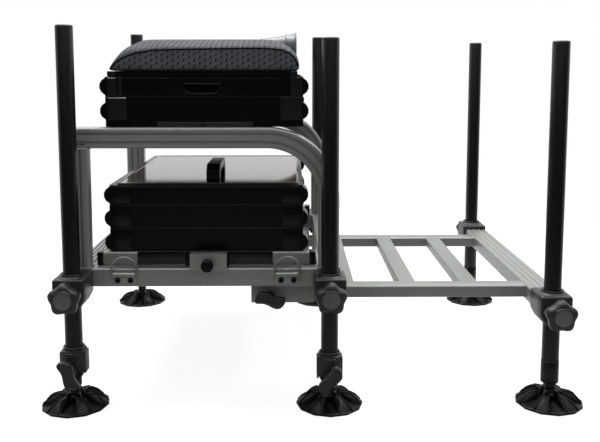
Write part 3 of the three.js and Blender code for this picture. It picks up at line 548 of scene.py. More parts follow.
def turned(profile: Sequence[Point], steps: int = 40, hollow: bool = False) -> bmesh.types.BMesh:
    """Spins a profile round Z.

    Args:
        profile: Radius and height of each point, from the bottom up.
        steps: Facets of the full turn.
        hollow: Whether the profile is a closed ring, as for a sleeve.

    Returns:
        The mesh.
    """
    mesh = bmesh.new()
    row = [mesh.verts.new((radius, 0, height)) for radius, height in profile]
    for first, second in zip(row, row[1:]):
        mesh.edges.new((first, second))
    if hollow:
        mesh.edges.new((row[-1], row[0]))
    bmesh.ops.spin(mesh, geom=mesh.verts[:] + mesh.edges[:], cent=(0, 0, 0), axis=(0, 0, 1), angle=FULL_TURN,
                   steps=steps, use_merge=True)
    bmesh.ops.remove_doubles(mesh, verts=mesh.verts, dist=WELD)
    bmesh.ops.recalc_face_normals(mesh, faces=mesh.faces)
    return mesh


def prism(outline: Sequence[Point], plane: Plane, span: Span, radius: float = 0.0,
          segments: int = 2) -> bmesh.types.BMesh:
    """Extrudes a flat outline.

    Args:
        outline: Corners of the outline, in its plane.
        plane: The plane that it is drawn in.
        span: Where it starts and ends, across the plane.
        radius: Rounding of the sharp edges.
        segments: Facets of the rounding.

    Returns:
        The mesh.
    """
    start, reach = span[0], span[1] - span[0]
    across = plane is Plane.YZ
    corners = [(start, a, b) if across else (a, start, b) for a, b in outline]
    mesh = bmesh.new()
    face = mesh.faces.new([mesh.verts.new(corner) for corner in corners])
    grown = bmesh.ops.extrude_face_region(mesh, geom=[face])["geom"]
    moved = [part for part in grown if isinstance(part, bmesh.types.BMVert)]
    bmesh.ops.translate(mesh, vec=(reach, 0, 0) if across else (0, reach, 0), verts=moved)
    bmesh.ops.recalc_face_normals(mesh, faces=mesh.faces)
    return rounded(mesh, radius, segments) if radius else mesh


@dataclass(frozen=True)
class Level:
    """One height of a lofted shape, and how wide its outline is there."""

    height: float
    across: float = 1.0
    along: float = 1.0


def levels_from(base: float, *steps: tuple[float, ...]) -> list[Level]:
    """Gives levels by how far they stand over a base.

    Args:
        base: The height that they are counted from.
        steps: The rise of each, then its stretch across and along, or one stretch for both.

    Returns:
        The levels.
    """
    return [Level(base + step[0], step[1], step[-1]) for step in steps]


def ring_grown(mesh: bmesh.types.BMesh, edges: Sequence[bmesh.types.BMEdge]) -> tuple[
        list[bmesh.types.BMVert], list[bmesh.types.BMEdge]]:
    """Extrudes a ring of edges, which stays where it is.

    Args:
        mesh: The mesh.
        edges: The ring.

    Returns:
        The points and the edges of the new ring.
    """
    grown = bmesh.ops.extrude_edge_only(mesh, edges=list(edges))["geom"]
    verts = [part for part in grown if isinstance(part, bmesh.types.BMVert)]
    ring = set(verts)
    return verts, [part for part in grown if isinstance(part, bmesh.types.BMEdge) and set(part.verts) <= ring]


def circle(mesh: bmesh.types.BMesh, sides: int, radius: float, height: float) -> list[bmesh.types.BMEdge]:
    """Adds a regular ring of edges round Z.

    Args:
        mesh: The mesh.
        sides: How many edges it has.
        radius: Its radius.
        height: Its height.

    Returns:
        The edges.
    """
    verts = bmesh.ops.create_circle(mesh, segments=sides, radius=radius, matrix=at(z=height))["verts"]
    return list({edge for vert in verts for edge in vert.link_edges})


def lofted(outline: Sequence[Point], levels: Sequence[Level], bore: float = 0.0) -> bmesh.types.BMesh:
    """Carries an outline up through levels.

    Args:
        outline: Points round the outline, in X and Y.
        levels: Heights, from the bottom up, with the outline's stretch at each.
        bore: Radius of a round hole along Z, or nothing.

    Returns:
        The mesh.
    """
    mesh = bmesh.new()
    start = levels[0]
    row = [mesh.verts.new((x * start.across, y * start.along, start.height)) for x, y in outline]
    edges = [mesh.edges.new((row[i], row[(i + 1) % len(row)])) for i in range(len(row))]
    bottom, before = edges, start
    for level in levels[1:]:
        moved, edges = ring_grown(mesh, edges)
        bmesh.ops.scale(mesh, vec=(level.across / before.across, level.along / before.along, 1), verts=moved)
        bmesh.ops.translate(mesh, vec=(0, 0, level.height - before.height), verts=moved)
        before = level
    if bore:
        rings = []
        for level, outer in ((start, bottom), (before, edges)):
            inner = circle(mesh, BORE_STEPS, bore, level.height)
            bmesh.ops.bridge_loops(mesh, edges=list(outer) + inner)
            rings += inner
        bmesh.ops.bridge_loops(mesh, edges=rings)
    else:
        for ring_edges in (bottom, edges):
            bmesh.ops.contextual_create(mesh, geom=list(ring_edges))
    bmesh.ops.recalc_face_normals(mesh, faces=mesh.faces)
    return mesh


@dataclass(frozen=True)
class Loop:
    """A regular ring of points, for shapes that pass from round to six-sided."""

    sides: int
    radius: float
    height: float


def bridged(loops: Sequence[Loop]) -> bmesh.types.BMesh:
    """Joins rings one after the other, and closes the ends.

    Args:
        loops: The rings in order.

    Returns:
        The mesh.
    """
    mesh = bmesh.new()
    rings = [circle(mesh, loop.sides, loop.radius, loop.height) for loop in loops]
    for first, second in zip(rings, rings[1:]):
        bmesh.ops.bridge_loops(mesh, edges=first + second)
    for ring in (rings[0], rings[-1]):
        bmesh.ops.contextual_create(mesh, geom=ring)
    bmesh.ops.recalc_face_normals(mesh, faces=mesh.faces)
    return mesh


def squircle(half: float, power: float, steps: int = 40) -> list[Point]:
    """Gives a square outline with soft corners.

    Args:
        half: Half its width.
        power: How square it is: 2 is round.
        steps: Points in the outline.

    Returns:
        The points.
    """
    points = []
    for step in range(steps):
        angle = FULL_TURN * (step + 0.5) / steps
        reach = (abs(math.cos(angle)) ** power + abs(math.sin(angle)) ** power) ** (-1 / power)
        points.append((half * reach * math.cos(angle), half * reach * math.sin(angle)))
    return points


def wire(path: Sequence[Sequence[float]], radius: float, closed: bool = False, sides: int = 4,
         radii: Sequence[float] | None = None) -> bmesh.types.BMesh:
    """Runs a round wire through points.

    Args:
        path: Points of its middle.
        radius: Its radius.
        closed: Whether its ends meet.
        sides: Facets of a quarter of the wire, less one.
        radii: Share of the radius at each point, or the whole everywhere.

    Returns:
        The mesh.
    """
    curve = bpy.data.curves.new("wire", "CURVE")
    curve.dimensions = "3D"
    curve.bevel_depth = radius
    curve.bevel_resolution = sides
    curve.use_fill_caps = not closed
    spline = curve.splines.new("POLY")
    spline.points.add(len(path) - 1)
    for index, place in enumerate(path):
        spline.points[index].co = (*place, 1)
        spline.points[index].radius = radii[index] if radii else 1.0
    spline.use_cyclic_u = closed
    carrier = bpy.data.objects.new("wire", curve)
    flat = bpy.data.meshes.new_from_object(carrier)
    mesh = bmesh.new()
    mesh.from_mesh(flat)
    bmesh.ops.remove_doubles(mesh, verts=mesh.verts, dist=WELD)
    bmesh.ops.recalc_face_normals(mesh, faces=mesh.faces)
    bpy.data.objects.remove(carrier)
    bpy.data.curves.remove(curve)
    bpy.data.meshes.remove(flat)
    return mesh


def placed(mesh: bmesh.types.BMesh, *turns: Matrix) -> bmesh.types.BMesh:
    """Moves a mesh.

    Args:
        mesh: The mesh, which is changed.
        turns: Matrices, the first of them applied first.

    Returns:
        The same mesh.
    """
    for turn in turns:
        bmesh.ops.transform(mesh, matrix=turn, verts=mesh.verts)
        if turn.determinant() < 0:
            bmesh.ops.reverse_faces(mesh, faces=mesh.faces)
    return mesh


def at(x: float = 0.0, y: float = 0.0, z: float = 0.0) -> Matrix:
    """Gives a move to a place."""
    return Matrix.Translation((x, y, z))


def to_object(name: str, meshes: Sequence[bmesh.types.BMesh], place: Matrix = TO_FRAME) -> bpy.types.Object:
    """Puts meshes together into one object.

    Args:
        name: The object's name.
        meshes: The meshes, which are freed.
        place: What takes them to metres in the frame.

    Returns:
        The object, at the origin.
    """
    whole = bmesh.new()
    for mesh in meshes:
        part = bpy.data.meshes.new("part")
        mesh.to_mesh(part)
        mesh.free()
        whole.from_mesh(part)
        bpy.data.meshes.remove(part)
    bmesh.ops.transform(whole, matrix=place, verts=whole.verts)
    if place.determinant() < 0:
        bmesh.ops.reverse_faces(whole, faces=whole.faces)
    data = bpy.data.meshes.new(name)
    whole.to_mesh(data)
    whole.free()
    data.shade_smooth()
    data.set_sharp_from_angle(angle=SMOOTH_ANGLE)
    made = bpy.data.objects.new(name, data)
    bpy.context.scene.collection.objects.link(made)
    return made


@dataclass(frozen=True)
class Look:
    """What a piece is finished in, and what it moves with."""

    finish: Finish
    slot: Slot
    body: str

    def show(self, name: str, meshes: Sequence[bmesh.types.BMesh], *replaced: str) -> None:
        """Makes one piece and finishes it.

        Args:
            name: The piece.
            meshes: Its meshes, in the part's own places.
            replaced: The CAD nodes that it stands for.
        """
        self.dress(to_object(name, meshes), *replaced)

    def dress(self, made: bpy.types.Object, *replaced: str) -> bpy.types.Object:
        """Finishes a piece and ties it to its body.

        Args:
            made: The piece.
            replaced: The CAD nodes that it stands for.

        Returns:
            The same piece.
        """
        made.data.materials.clear()
        made.data.materials.append(self.finish.material())
        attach(made, self.body)
        if replaced:
            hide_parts(*replaced)
        log.info("%s rides on %s, %d faces", made.name, self.body, len(made.data.polygons))
        return made


def refined(node: str, look: Look, radius: float) -> bpy.types.Object:
    """Makes a finer copy of a CAD node: merged, its flat faces whole, and its edges rounded.

    Args:
        node: The CAD node.
        look: Its finish and body.
        radius: Rounding of its edges, in millimetres.

    Returns:
        The piece that stands for the node.
    """
    mesh = bmesh.new()
    mesh.from_mesh(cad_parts[node].data)
    bmesh.ops.remove_doubles(mesh, verts=mesh.verts, dist=WELD * MILLIMETRE)
    bmesh.ops.dissolve_limit(mesh, angle_limit=math.radians(0.5), verts=mesh.verts, edges=mesh.edges)
    made = to_object(f"{node}_dressed", [mesh], Matrix.Identity(4))
    edge = made.modifiers.new("edges", "BEVEL")
    edge.width = radius * MILLIMETRE
    edge.segments = 2
    edge.limit_method = "ANGLE"
    edge.angle_limit = SHARP_ANGLE
    edge.harden_normals = True
    return look.dress(made, node)


# Welded frame
FAR_SIDE = at(y=LEG_SPAN) @ Matrix.Scale(-1, 4, (0, 1, 0))
BOTH_SIDES = (Matrix.Identity(4), FAR_SIDE)
TO_X = Matrix.Rotation(math.pi / 2, 4, "Y")  # turns +Z to +X


def hex_bolt(radius: float, rise: float, socket: float) -> bmesh.types.BMesh:
    """Makes a button head with a six-sided socket, standing up from z = 0.

    Args:
        radius: Radius of the head.
        rise: Its height.
        socket: Radius of the socket.

    Returns:
        The mesh.
    """
    return bridged([
        Loop(28, radius, -0.4), Loop(28, radius, rise * 0.25), Loop(28, radius * 0.9, rise * 0.65),
        Loop(28, radius * 0.68, rise), Loop(6, socket, rise), Loop(6, socket * 0.94, rise * 0.2),
    ])


def weld_bead(half_x: float, half_y: float, centre: Point, height: float,
              short: float = 0.0) -> bmesh.types.BMesh:
    """Makes the rippled bead round the foot of a welded post.

    Args:
        half_x: Half the bead's path along X.
        half_y: Half of it along Y.
        centre: Middle of the post.
        height: Height of the joint.
        short: How far it stops short of the inner face, which it then leaves bare; 0 is a bead all round.

    Returns:
        The mesh.
    """
    ripple, pitch, step, size = 0.22, 3.4, 0.85, 1.5
    end = half_y - short
    corners = [(half_x, end), (half_x, -half_y), (-half_x, -half_y), (-half_x, end)]
    sides = list(zip(corners, corners[1:] + ([] if short else corners[:1])))
    path: list[tuple[float, float, float]] = []
    radii: list[float] = []
    run = 0.0
    for first, second in sides:
        length = math.dist(first, second)
        count = int(length / step)
        for index in range(count):
            share = index / count
            x = first[0] + (second[0] - first[0]) * share
            y = first[1] + (second[1] - first[1]) * share
            path.append((centre[0] + x, centre[1] + y, height))
            radii.append(1 + ripple * math.sin(FULL_TURN * (run + length * share) / pitch))
        run += length
    return wire(path, size, closed=not short, sides=1, radii=radii)


@dataclass(frozen=True)
class SideArch:
    """A bent profile with two grooves in each face, on its rear post."""

    side: Side
    width: float = 37.5
    depth: float = 26.0
    inset: float = 38.0
    rail_top: float = 490.5
    post: Span = (-18.75, 23.5)
    bend_radius: float = 111.0
    corner: float = 6.0
    corner_steps: int = 5
    groove_width: float = 4.6
    groove_depth: float = 2.4
    groove_pitch: float = 14.6
    groove_slope: float = 1.3
    foot: float = 237.3
    rear_end: float = -18.75
    front_axis: float = LEG_PITCH
    bend_steps: int = 26
    cap: float = 1.6
    bare_edge: float = 2.4

    def section(self, width: float) -> list[Point]:
        """Gives the profile: across the arch, and outwards from its bend.

        Args:
            width: Its size in the plane of the arch.

        Returns:
            The points round it.
        """
        x, y = self.depth / 2, width / 2
        low = (self.groove_pitch - self.groove_width) / 2
        high = low + self.groove_width
        floor, slope = x - self.groove_depth, self.groove_slope
        quarter = [(x, low), (floor, low + slope), (floor, high - slope), (x, high),
                   *arc(self.corner, (0, 1), self.corner_steps, (x - self.corner, y - self.corner))]
        back = quarter[::-1]
        return (quarter + [(-a, b) for a, b in back] + [(-a, -b) for a, b in quarter]
                + [(a, -b) for a, b in back])

    def hoop(self) -> bmesh.types.BMesh:
        """Runs the profile along the rail, round the bend and down to the base.

        Returns:
            The mesh.
        """
        mesh = bmesh.new()
        y, rail = self.inset + self.depth / 2, self.rail_top - self.width / 2
        bend_x = self.front_axis - self.bend_radius
        row = [mesh.verts.new((self.rear_end, y + a, rail + b)) for a, b in self.section(self.width)]
        edges = [mesh.edges.new((row[i], row[(i + 1) % len(row)])) for i in range(len(row))]
        first = edges
        verts, edges = ring_grown(mesh, edges)
        bmesh.ops.translate(mesh, vec=(bend_x - self.rear_end, 0, 0), verts=verts)
        swung = bmesh.ops.spin(mesh, geom=verts + edges, cent=(bend_x, 0, rail - self.bend_radius),
                               axis=(0, 1, 0), angle=math.pi / 2, steps=self.bend_steps, use_merge=False)
        edges = [part for part in swung["geom_last"] if isinstance(part, bmesh.types.BMEdge)]
        verts, edges = ring_grown(mesh, edges)
        bmesh.ops.translate(mesh, vec=(0, 0, self.foot - rail + self.bend_radius), verts=verts)
        for ring in (first, edges):
            bmesh.ops.contextual_create(mesh, geom=list(ring))
        bmesh.ops.recalc_face_normals(mesh, faces=mesh.faces)
        return mesh

    def rear_post(self) -> bmesh.types.BMesh:
        """Stands the rear post under the rail.

        Returns:
            The mesh.
        """
        top = self.rail_top - self.width * 0.75
        outline = [(b, a) for a, b in self.section(self.post[1] - self.post[0])]
        place = at(sum(self.post) / 2, self.inset + self.depth / 2)
        return placed(lofted(outline, [Level(self.foot), Level(top)]), place)

    def build(self) -> None:
        """Builds the arch, its weld beads and its end cap."""
        turn = FAR_SIDE if self.side is Side.FAR else Matrix.Identity(4)
        y = self.inset + self.depth / 2
        grey = Look(ARCH_GREY, Slot.FRAME, "chassis")
        name = f"side_arch_{self.side.value}"
        meshes = [placed(self.hoop(), turn), placed(self.rear_post(), turn)]
        grey.show(f"{name}_profile", meshes, name)
        half_y, foot, top = self.depth / 2 + 0.2, self.foot + 0.4, self.rail_top - self.width - 0.3
        post_half, post_x = (self.post[1] - self.post[0]) / 2 + 0.2, sum(self.post) / 2
        beads = [weld_bead(self.width / 2 + 0.2, half_y, (self.front_axis, y), foot, self.bare_edge)]
        beads += [weld_bead(post_half, half_y, (post_x, y), height) for height in (foot, top)]
        grey.show(f"{name}_welds", [placed(bead, turn) for bead in beads])
        plug = squircle(0.5, 9.0, FINE)
        width, depth, chamfer = self.width - 1.2, self.depth - 1.2, 1.8
        cap = lofted(plug, [Level(0, width, depth), Level(self.cap * 0.5, width, depth),
                            Level(self.cap, width - chamfer, depth - chamfer)])
        spin = Matrix.Rotation(-math.pi / 2, 4, "Y")
        placed(cap, spin, at(self.rear_end, y, self.rail_top - self.width / 2), turn)
        Look(CAP_BLACK, Slot.TRAY, "chassis").show(f"{name}_end_cap", [cap])


@dataclass(frozen=True)
class BaseRing:
    """The welded base with its latch plate, footplate sleeves, end caps and latch stops."""

    edge: float = 0.9
    beam_near: Span = (38.0, 70.0)
    beam_z: Span = (204.0, 237.0)
    ends: Span = (-18.75, 468.75)
    cap: float = 1.5
    stops: tuple[Span, Span] = ((191.0, 198.0), (263.0, 270.0))
    stop_y: Span = (56.0, 63.9)
    stop_top: float = 257.0

    def build(self) -> None:
        """Builds the base's pieces."""
        refined("base_frame", Look(FRAME_GREY, Slot.FRAME, "chassis"), self.edge)
        caps = []
        for side in BOTH_SIDES:
            for x in ((self.ends[0] - self.cap, self.ends[0]), (self.ends[1], self.ends[1] + self.cap)):
                y, z = shrunk(self.beam_near, CAP_INSET), shrunk(self.beam_z, CAP_INSET)
                caps.append(placed(block(x, y, z, 0.7), side))
        black = Look(CAP_BLACK, Slot.TRAY, "chassis")
        black.show("base_beam_end_caps", caps)
        foot = self.beam_z[1] - 0.2
        stops = [block(x, self.stop_y, (foot, self.stop_top), 1.0) for x in self.stops]
        black.show("latch_stop_posts", stops)


@dataclass(frozen=True)
class CarryRing:
    """A folded bracket with its rolled eye and two bolts, and the ring that turns in it."""

    end: str
    centre: float
    width: float = 43.0
    neck: float = 40.0
    face: float = 37.7
    thickness: float = 3.0
    bottom: float = 210.0
    shoulder: float = 221.0
    top: float = 230.0
    axis: float = 227.0
    eye: float = 4.5
    wire: float = 2.2
    ring_width: float = 45.6
    ring_height: float = 31.0
    lean: float = 0.14
    bolt: tuple[float, float, float] = (5.3, 3.0, 2.7)
    bolt_pitch: float = 23.0
    bolt_z: float = 216.0
    arc_steps: int = 28

    def bracket(self) -> list[bmesh.types.BMesh]:
        """Makes the folded plate and the eye.

        Returns:
            The meshes.
        """
        half, neck, cut = self.width / 2, self.neck / 2, 2
        right = [(half - cut, self.bottom), (half, self.bottom + cut), (half, self.shoulder),
                 (neck, self.shoulder + cut), (neck, self.top)]
        outline = right + [(-x, z) for x, z in right[::-1]]
        plate = prism(outline, Plane.XZ, (self.face - self.thickness, self.face), 0.6)
        bore = self.wire + GAP
        hollow = [(bore, -neck), (self.eye, -neck), (self.eye, neck), (bore, neck)]
        eye = rounded(turned(hollow, 28, hollow=True), 0.4)
        placed(eye, TO_X, at(0, self.face - self.eye, self.axis))
        return [placed(plate, at(self.centre)), placed(eye, at(self.centre))]

    def loop(self) -> bmesh.types.BMesh:
        """Bends the ring: a straight bar through the eye, closed by a half circle.

        Returns:
            The mesh.
        """
        half = self.ring_width / 2
        arm = self.ring_height - half
        flat = [(-half + 3.0, 0.0), (half - 3.0, 0.0), (half - 0.9, 0.9), (half, 3.0)]
        flat += arc(half, (0, 2), self.arc_steps, (0.0, arm))
        flat += [(-half, 3.0), (-half + 0.9, 0.9)]
        y = self.face - self.eye
        path = [(self.centre + a, y + b * math.sin(self.lean), self.axis + b * math.cos(self.lean))
                for a, b in flat]
        return wire(path, self.wire, closed=True, sides=5)

    def build(self) -> None:
        """Builds the bracket, its bolts and the ring."""
        node = f"ring_bracket_{self.end}"
        Look(STEEL, Slot.STEEL, "chassis").show(f"{node}_folded", self.bracket(), node)
        outer = self.face - self.thickness
        places = [at(self.centre + side * self.bolt_pitch / 2, outer, self.bolt_z) for side in (-1, 1)]
        bolts = [placed(hex_bolt(*self.bolt), OUTWARD, place) for place in places]
        Look(BOLT_BLACK, Slot.STEEL, "chassis").show(f"ring_bolts_{self.end}", bolts)
        ring = f"d_ring_{self.end}"
        Look(STEEL, Slot.STEEL, ring).show(f"{ring}_wire", [self.loop()], ring)


@dataclass(frozen=True)
class LatchPlunger:
    """The spring plunger that holds the deck, with its round grip."""

    centre: float = 234.0
    axis: float = 247.3
    knob: float = 11.0
    length: float = 17.0
    back: float = 25.7
    pin: float = 4.0
    pin_end: float = 64.0

    def build(self) -> None:
        """Builds the grip and its pin."""
        r, reach = self.knob, self.length
        grip = [(0, 0), (r - 2.6, 0), (r - 1.2, 0.5), (r - 0.5, 2.0), (r - 0.5, 4.6), (r, 5.4)]
        grip += profile(reach, (r, -2.6), (r - 0.8, -0.9), (r - 2.4, 0), (0, 0))
        pin_length = self.pin_end - self.back
        rod = rounded(turned([(0, -pin_length), (self.pin, -pin_length), (self.pin, 1), (0, 1)], COARSE), 0.5)
        collar = rounded(turned([(0, -8.9), (6.6, -8.9), (6.6, 0.4), (0, 0.4)], 6), 0.6)
        meshes = [placed(part, OUTWARD, at(self.centre, self.back, self.axis))
                  for part in (turned(grip, 44), rod, collar)]
        Look(FOOT_BLACK, Slot.CLAMP, "latch").show("latch_plunger_grip", meshes, "latch_plunger")


@dataclass(frozen=True)
class Footplate:
    """The welded footplate with its end caps."""

    edge: float = 0.9
    runner: Span = (88.0, 125.0)
    rear: float = 322.0
    z: Span = (168.0, 190.0)
    cap: float = 1.5

    def build(self) -> None:
        """Builds the footplate and the plugs in its runners' rear ends."""
        refined("footplate", Look(FRAME_GREY, Slot.FRAME, "footplate"), self.edge)
        x = (self.rear - self.cap, self.rear)
        y, z = shrunk(self.runner, CAP_INSET), shrunk(self.z, CAP_INSET)
        caps = [placed(block(x, y, z, 0.7), side) for side in BOTH_SIDES]
        Look(CAP_BLACK, Slot.TRAY, "footplate").show("footplate_runner_caps", caps)


# Legs, each built round its own axis with its outer side towards -Y
def stood(x: float, side: Side) -> Matrix:
    """Gives what takes a piece from its own axis to its place in the row of legs.

    Args:
        x: Its place along the row.
        side: The row; the far one is turned half round.

    Returns:
        The move.
    """
    return at(x, LEG_SPAN) @ Matrix.Rotation(math.pi, 4, "Z") if side is Side.FAR else at(x)


def knob_outline(radius: float, rise: float, lobes: int, steps: int = 70) -> list[Point]:
    """Gives the outline of a lobed knob, with one lobe up.

    Args:
        radius: Mean radius.
        rise: How far the lobes stand out of it.
        lobes: How many there are.
        steps: Points in the outline.

    Returns:
        The points.
    """
    points = []
    for step in range(steps):
        angle = FULL_TURN * step / steps
        reach = radius + rise * math.cos(lobes * angle)
        points.append((-reach * math.sin(angle), reach * math.cos(angle)))
    return points


@dataclass(frozen=True)
class WingGrip:
    """An S-shaped grip with hollowed faces, its hub and its screw, built upwards along Z."""

    front: float
    back: float
    screw_end: float
    tilt: float
    half_length: float = 28.5
    half_width: float = 11.5
    sway: float = 5.0
    thickness: float = 13.0
    hub: float = 8.5
    screw: float = 3.5
    steps: int = 16
    hollow: float = 1.7

    def outline(self) -> list[Point]:
        """Gives the S shape.

        Returns:
            The points round it.
        """
        right: list[Point] = []
        left: list[Point] = []
        for step in range(-self.steps, self.steps + 1):
            share = math.sin(math.pi / 2 * step / self.steps)
            bow = self.sway * math.sin(math.pi * share)
            half = self.half_width * math.sqrt(max(0.0, 1 - share**4))
            right.append((bow + half, self.half_length * share))
            if half > WELD:
                left.insert(0, (bow - half, self.half_length * share))
        return right + left

    def meshes(self) -> list[bmesh.types.BMesh]:
        """Makes the grip, its hub and its screw.

        Returns:
            The meshes, facing -Y.
        """
        low = self.front - self.thickness
        levels = levels_from(low, (0, 0.74, 0.9), (1, 0.9, 0.965), (3, 1), (self.thickness / 2, 0.93, 1))
        levels += levels_from(self.front, (-3, 1), (-1, 0.9, 0.965), (0, 0.74, 0.9))
        grip = lofted(self.outline(), levels)
        ends = [face for face in grip.faces if len(face.verts) > 8 and abs(face.normal.z) > 0.9]
        for face in ends:
            bmesh.ops.inset_region(grip, faces=[face], thickness=2.2, depth=-self.hollow)
        hub = turned([(0, self.back), (self.hub, self.back), (self.hub, low + 1), (self.hub - 2, low + 3),
                      (0, low + 3)], 32)
        screw = turned([(0, self.screw_end), (self.screw, self.screw_end), (self.screw, self.back + 1),
                        (0, self.back + 1)], 20)
        spin = Matrix.Rotation(-self.tilt, 4, "Z")
        return [placed(rounded(grip, 0.8, 2), spin, OUTWARD), placed(rounded(hub, 0.7), OUTWARD),
                placed(screw, OUTWARD)]


@dataclass(frozen=True)
class ClampBlock:
    """The moulded block that holds a leg, with its ring, its boss and its lobed knob."""

    top: float
    half: float = 28.0
    outer: float = -28.0
    inner: float = 37.7
    corner: float = 4.5
    height: float = 50.0
    ring_height: float = 6.5
    groove: float = 1.6
    groove_half: float = 1.2
    grooves: tuple[float, float] = (-21.0, -13.0)
    bore: float = 15.7
    screw_drop: float = 33.5
    knob_radius: float = 26.2
    lobe_rise: float = 2.4
    lobes: int = 5
    knob_back: float = 34.3
    knob_front: float = 64.0
    disc: float = 17.0

    @property
    def facing(self) -> tuple[Matrix, Matrix]:
        """Gives what turns a piece to the block's outer side, on the screw's axis."""
        return OUTWARD, at(z=self.top - self.screw_drop)

    def outline(self) -> list[Point]:
        """Gives the block's outline, with two grooves in each side.

        Returns:
            The points round it.
        """
        half, soft = self.half, self.corner
        right = arc(soft, (-1, 0), 5, (half - soft, self.outer + soft))
        for centre in self.grooves:
            low, high = centre - self.groove_half, centre + self.groove_half
            floor = half - self.groove
            right += [(half, low), (floor, low + 0.3), (floor, high - 0.3), (half, high)]
        right += [(half, self.inner - 2.5), (half - 0.7, self.inner - 0.7), (half - 2.5, self.inner)]
        return right + [(-x, y) for x, y in right[::-1]]

    def body(self) -> list[bmesh.types.BMesh]:
        """Makes the block, the ring on its shoulder and the boss for the screw.

        Returns:
            The meshes.
        """
        shoulder = self.top - self.ring_height
        bottom = shoulder - self.height
        levels = levels_from(bottom, (0, 0.68, 0.95), (1.4, 0.72, 1), (15, 0.985, 1), (19, 1))
        levels += levels_from(shoulder, (-5, 1), (-2.4, 0.985, 0.99), (-0.8, 0.95, 0.965), (0, 0.88, 0.92))
        block_mesh = lofted(self.outline(), levels, bore=self.bore)
        edge = profile(shoulder, (self.bore, -1), (25.2, -1), (23.4, 0.9), (20.8, 1.9), (19.4, 3.2),
                       (19.9, 4.2), (19.9, 5.3), (19.1, 6.4))
        edge += profile(self.top, (17.2, 0), (16.1, -0.4), (self.bore, -1.6))
        ring = turned(edge, FINE, hollow=True)
        stub = [(5.3, 25), (16.2, 25), (16.0, 28.4), (14.4, 30), (14, 33.3), (13.4, 34), (5.3, 34)]
        boss = turned(stub, 40, hollow=True)
        placed(boss, *self.facing)
        return [block_mesh, ring, boss]

    def knob(self) -> list[bmesh.types.BMesh]:
        """Makes the knob, dished for the disc in its face, and its screw.

        Returns:
            The meshes.
        """
        back, disc = self.knob_back, self.disc
        levels = levels_from(back, (0, 0.60), (0.8, 0.68), (4, 0.86), (9, 0.965), (15, 1), (20.5, 0.99),
                             (24, 0.94), (26.4, 0.85), (27.6, 0.75), (28.2, 0.66))
        star = lofted(knob_outline(self.knob_radius, self.lobe_rise, self.lobes), levels)
        rim = turned(profile(self.knob_front, (0, -5), (disc + 1.4, -4), (disc + 0.4, -1.2), (disc - 0.3, -0.2),
                             (disc - 1.2, 0), (disc - 1.6, -0.9), (0, -1)), FINE)
        screw = turned([(0, 15.3), (5, 15.3), (5, back + 1), (0, back + 1)], COARSE)
        return [placed(part, *self.facing) for part in (star, rim, screw)]

    def disc_face(self) -> list[bmesh.types.BMesh]:
        """Makes the plain disc let into the knob's face.

        Returns:
            The mesh, in a list.
        """
        edge = self.disc - 1.7
        disc = turned(profile(self.knob_front, (0, -1.2), (edge, -1.2), (edge, -0.5), (edge - 0.4, -0.2),
                              (edge - 4.2, -0.2), (edge - 4.5, -0.5), (edge - 4.9, -0.5), (edge - 5.2, -0.25),
                              (0, -0.25)), FINE)
        return [placed(disc, *self.facing)]


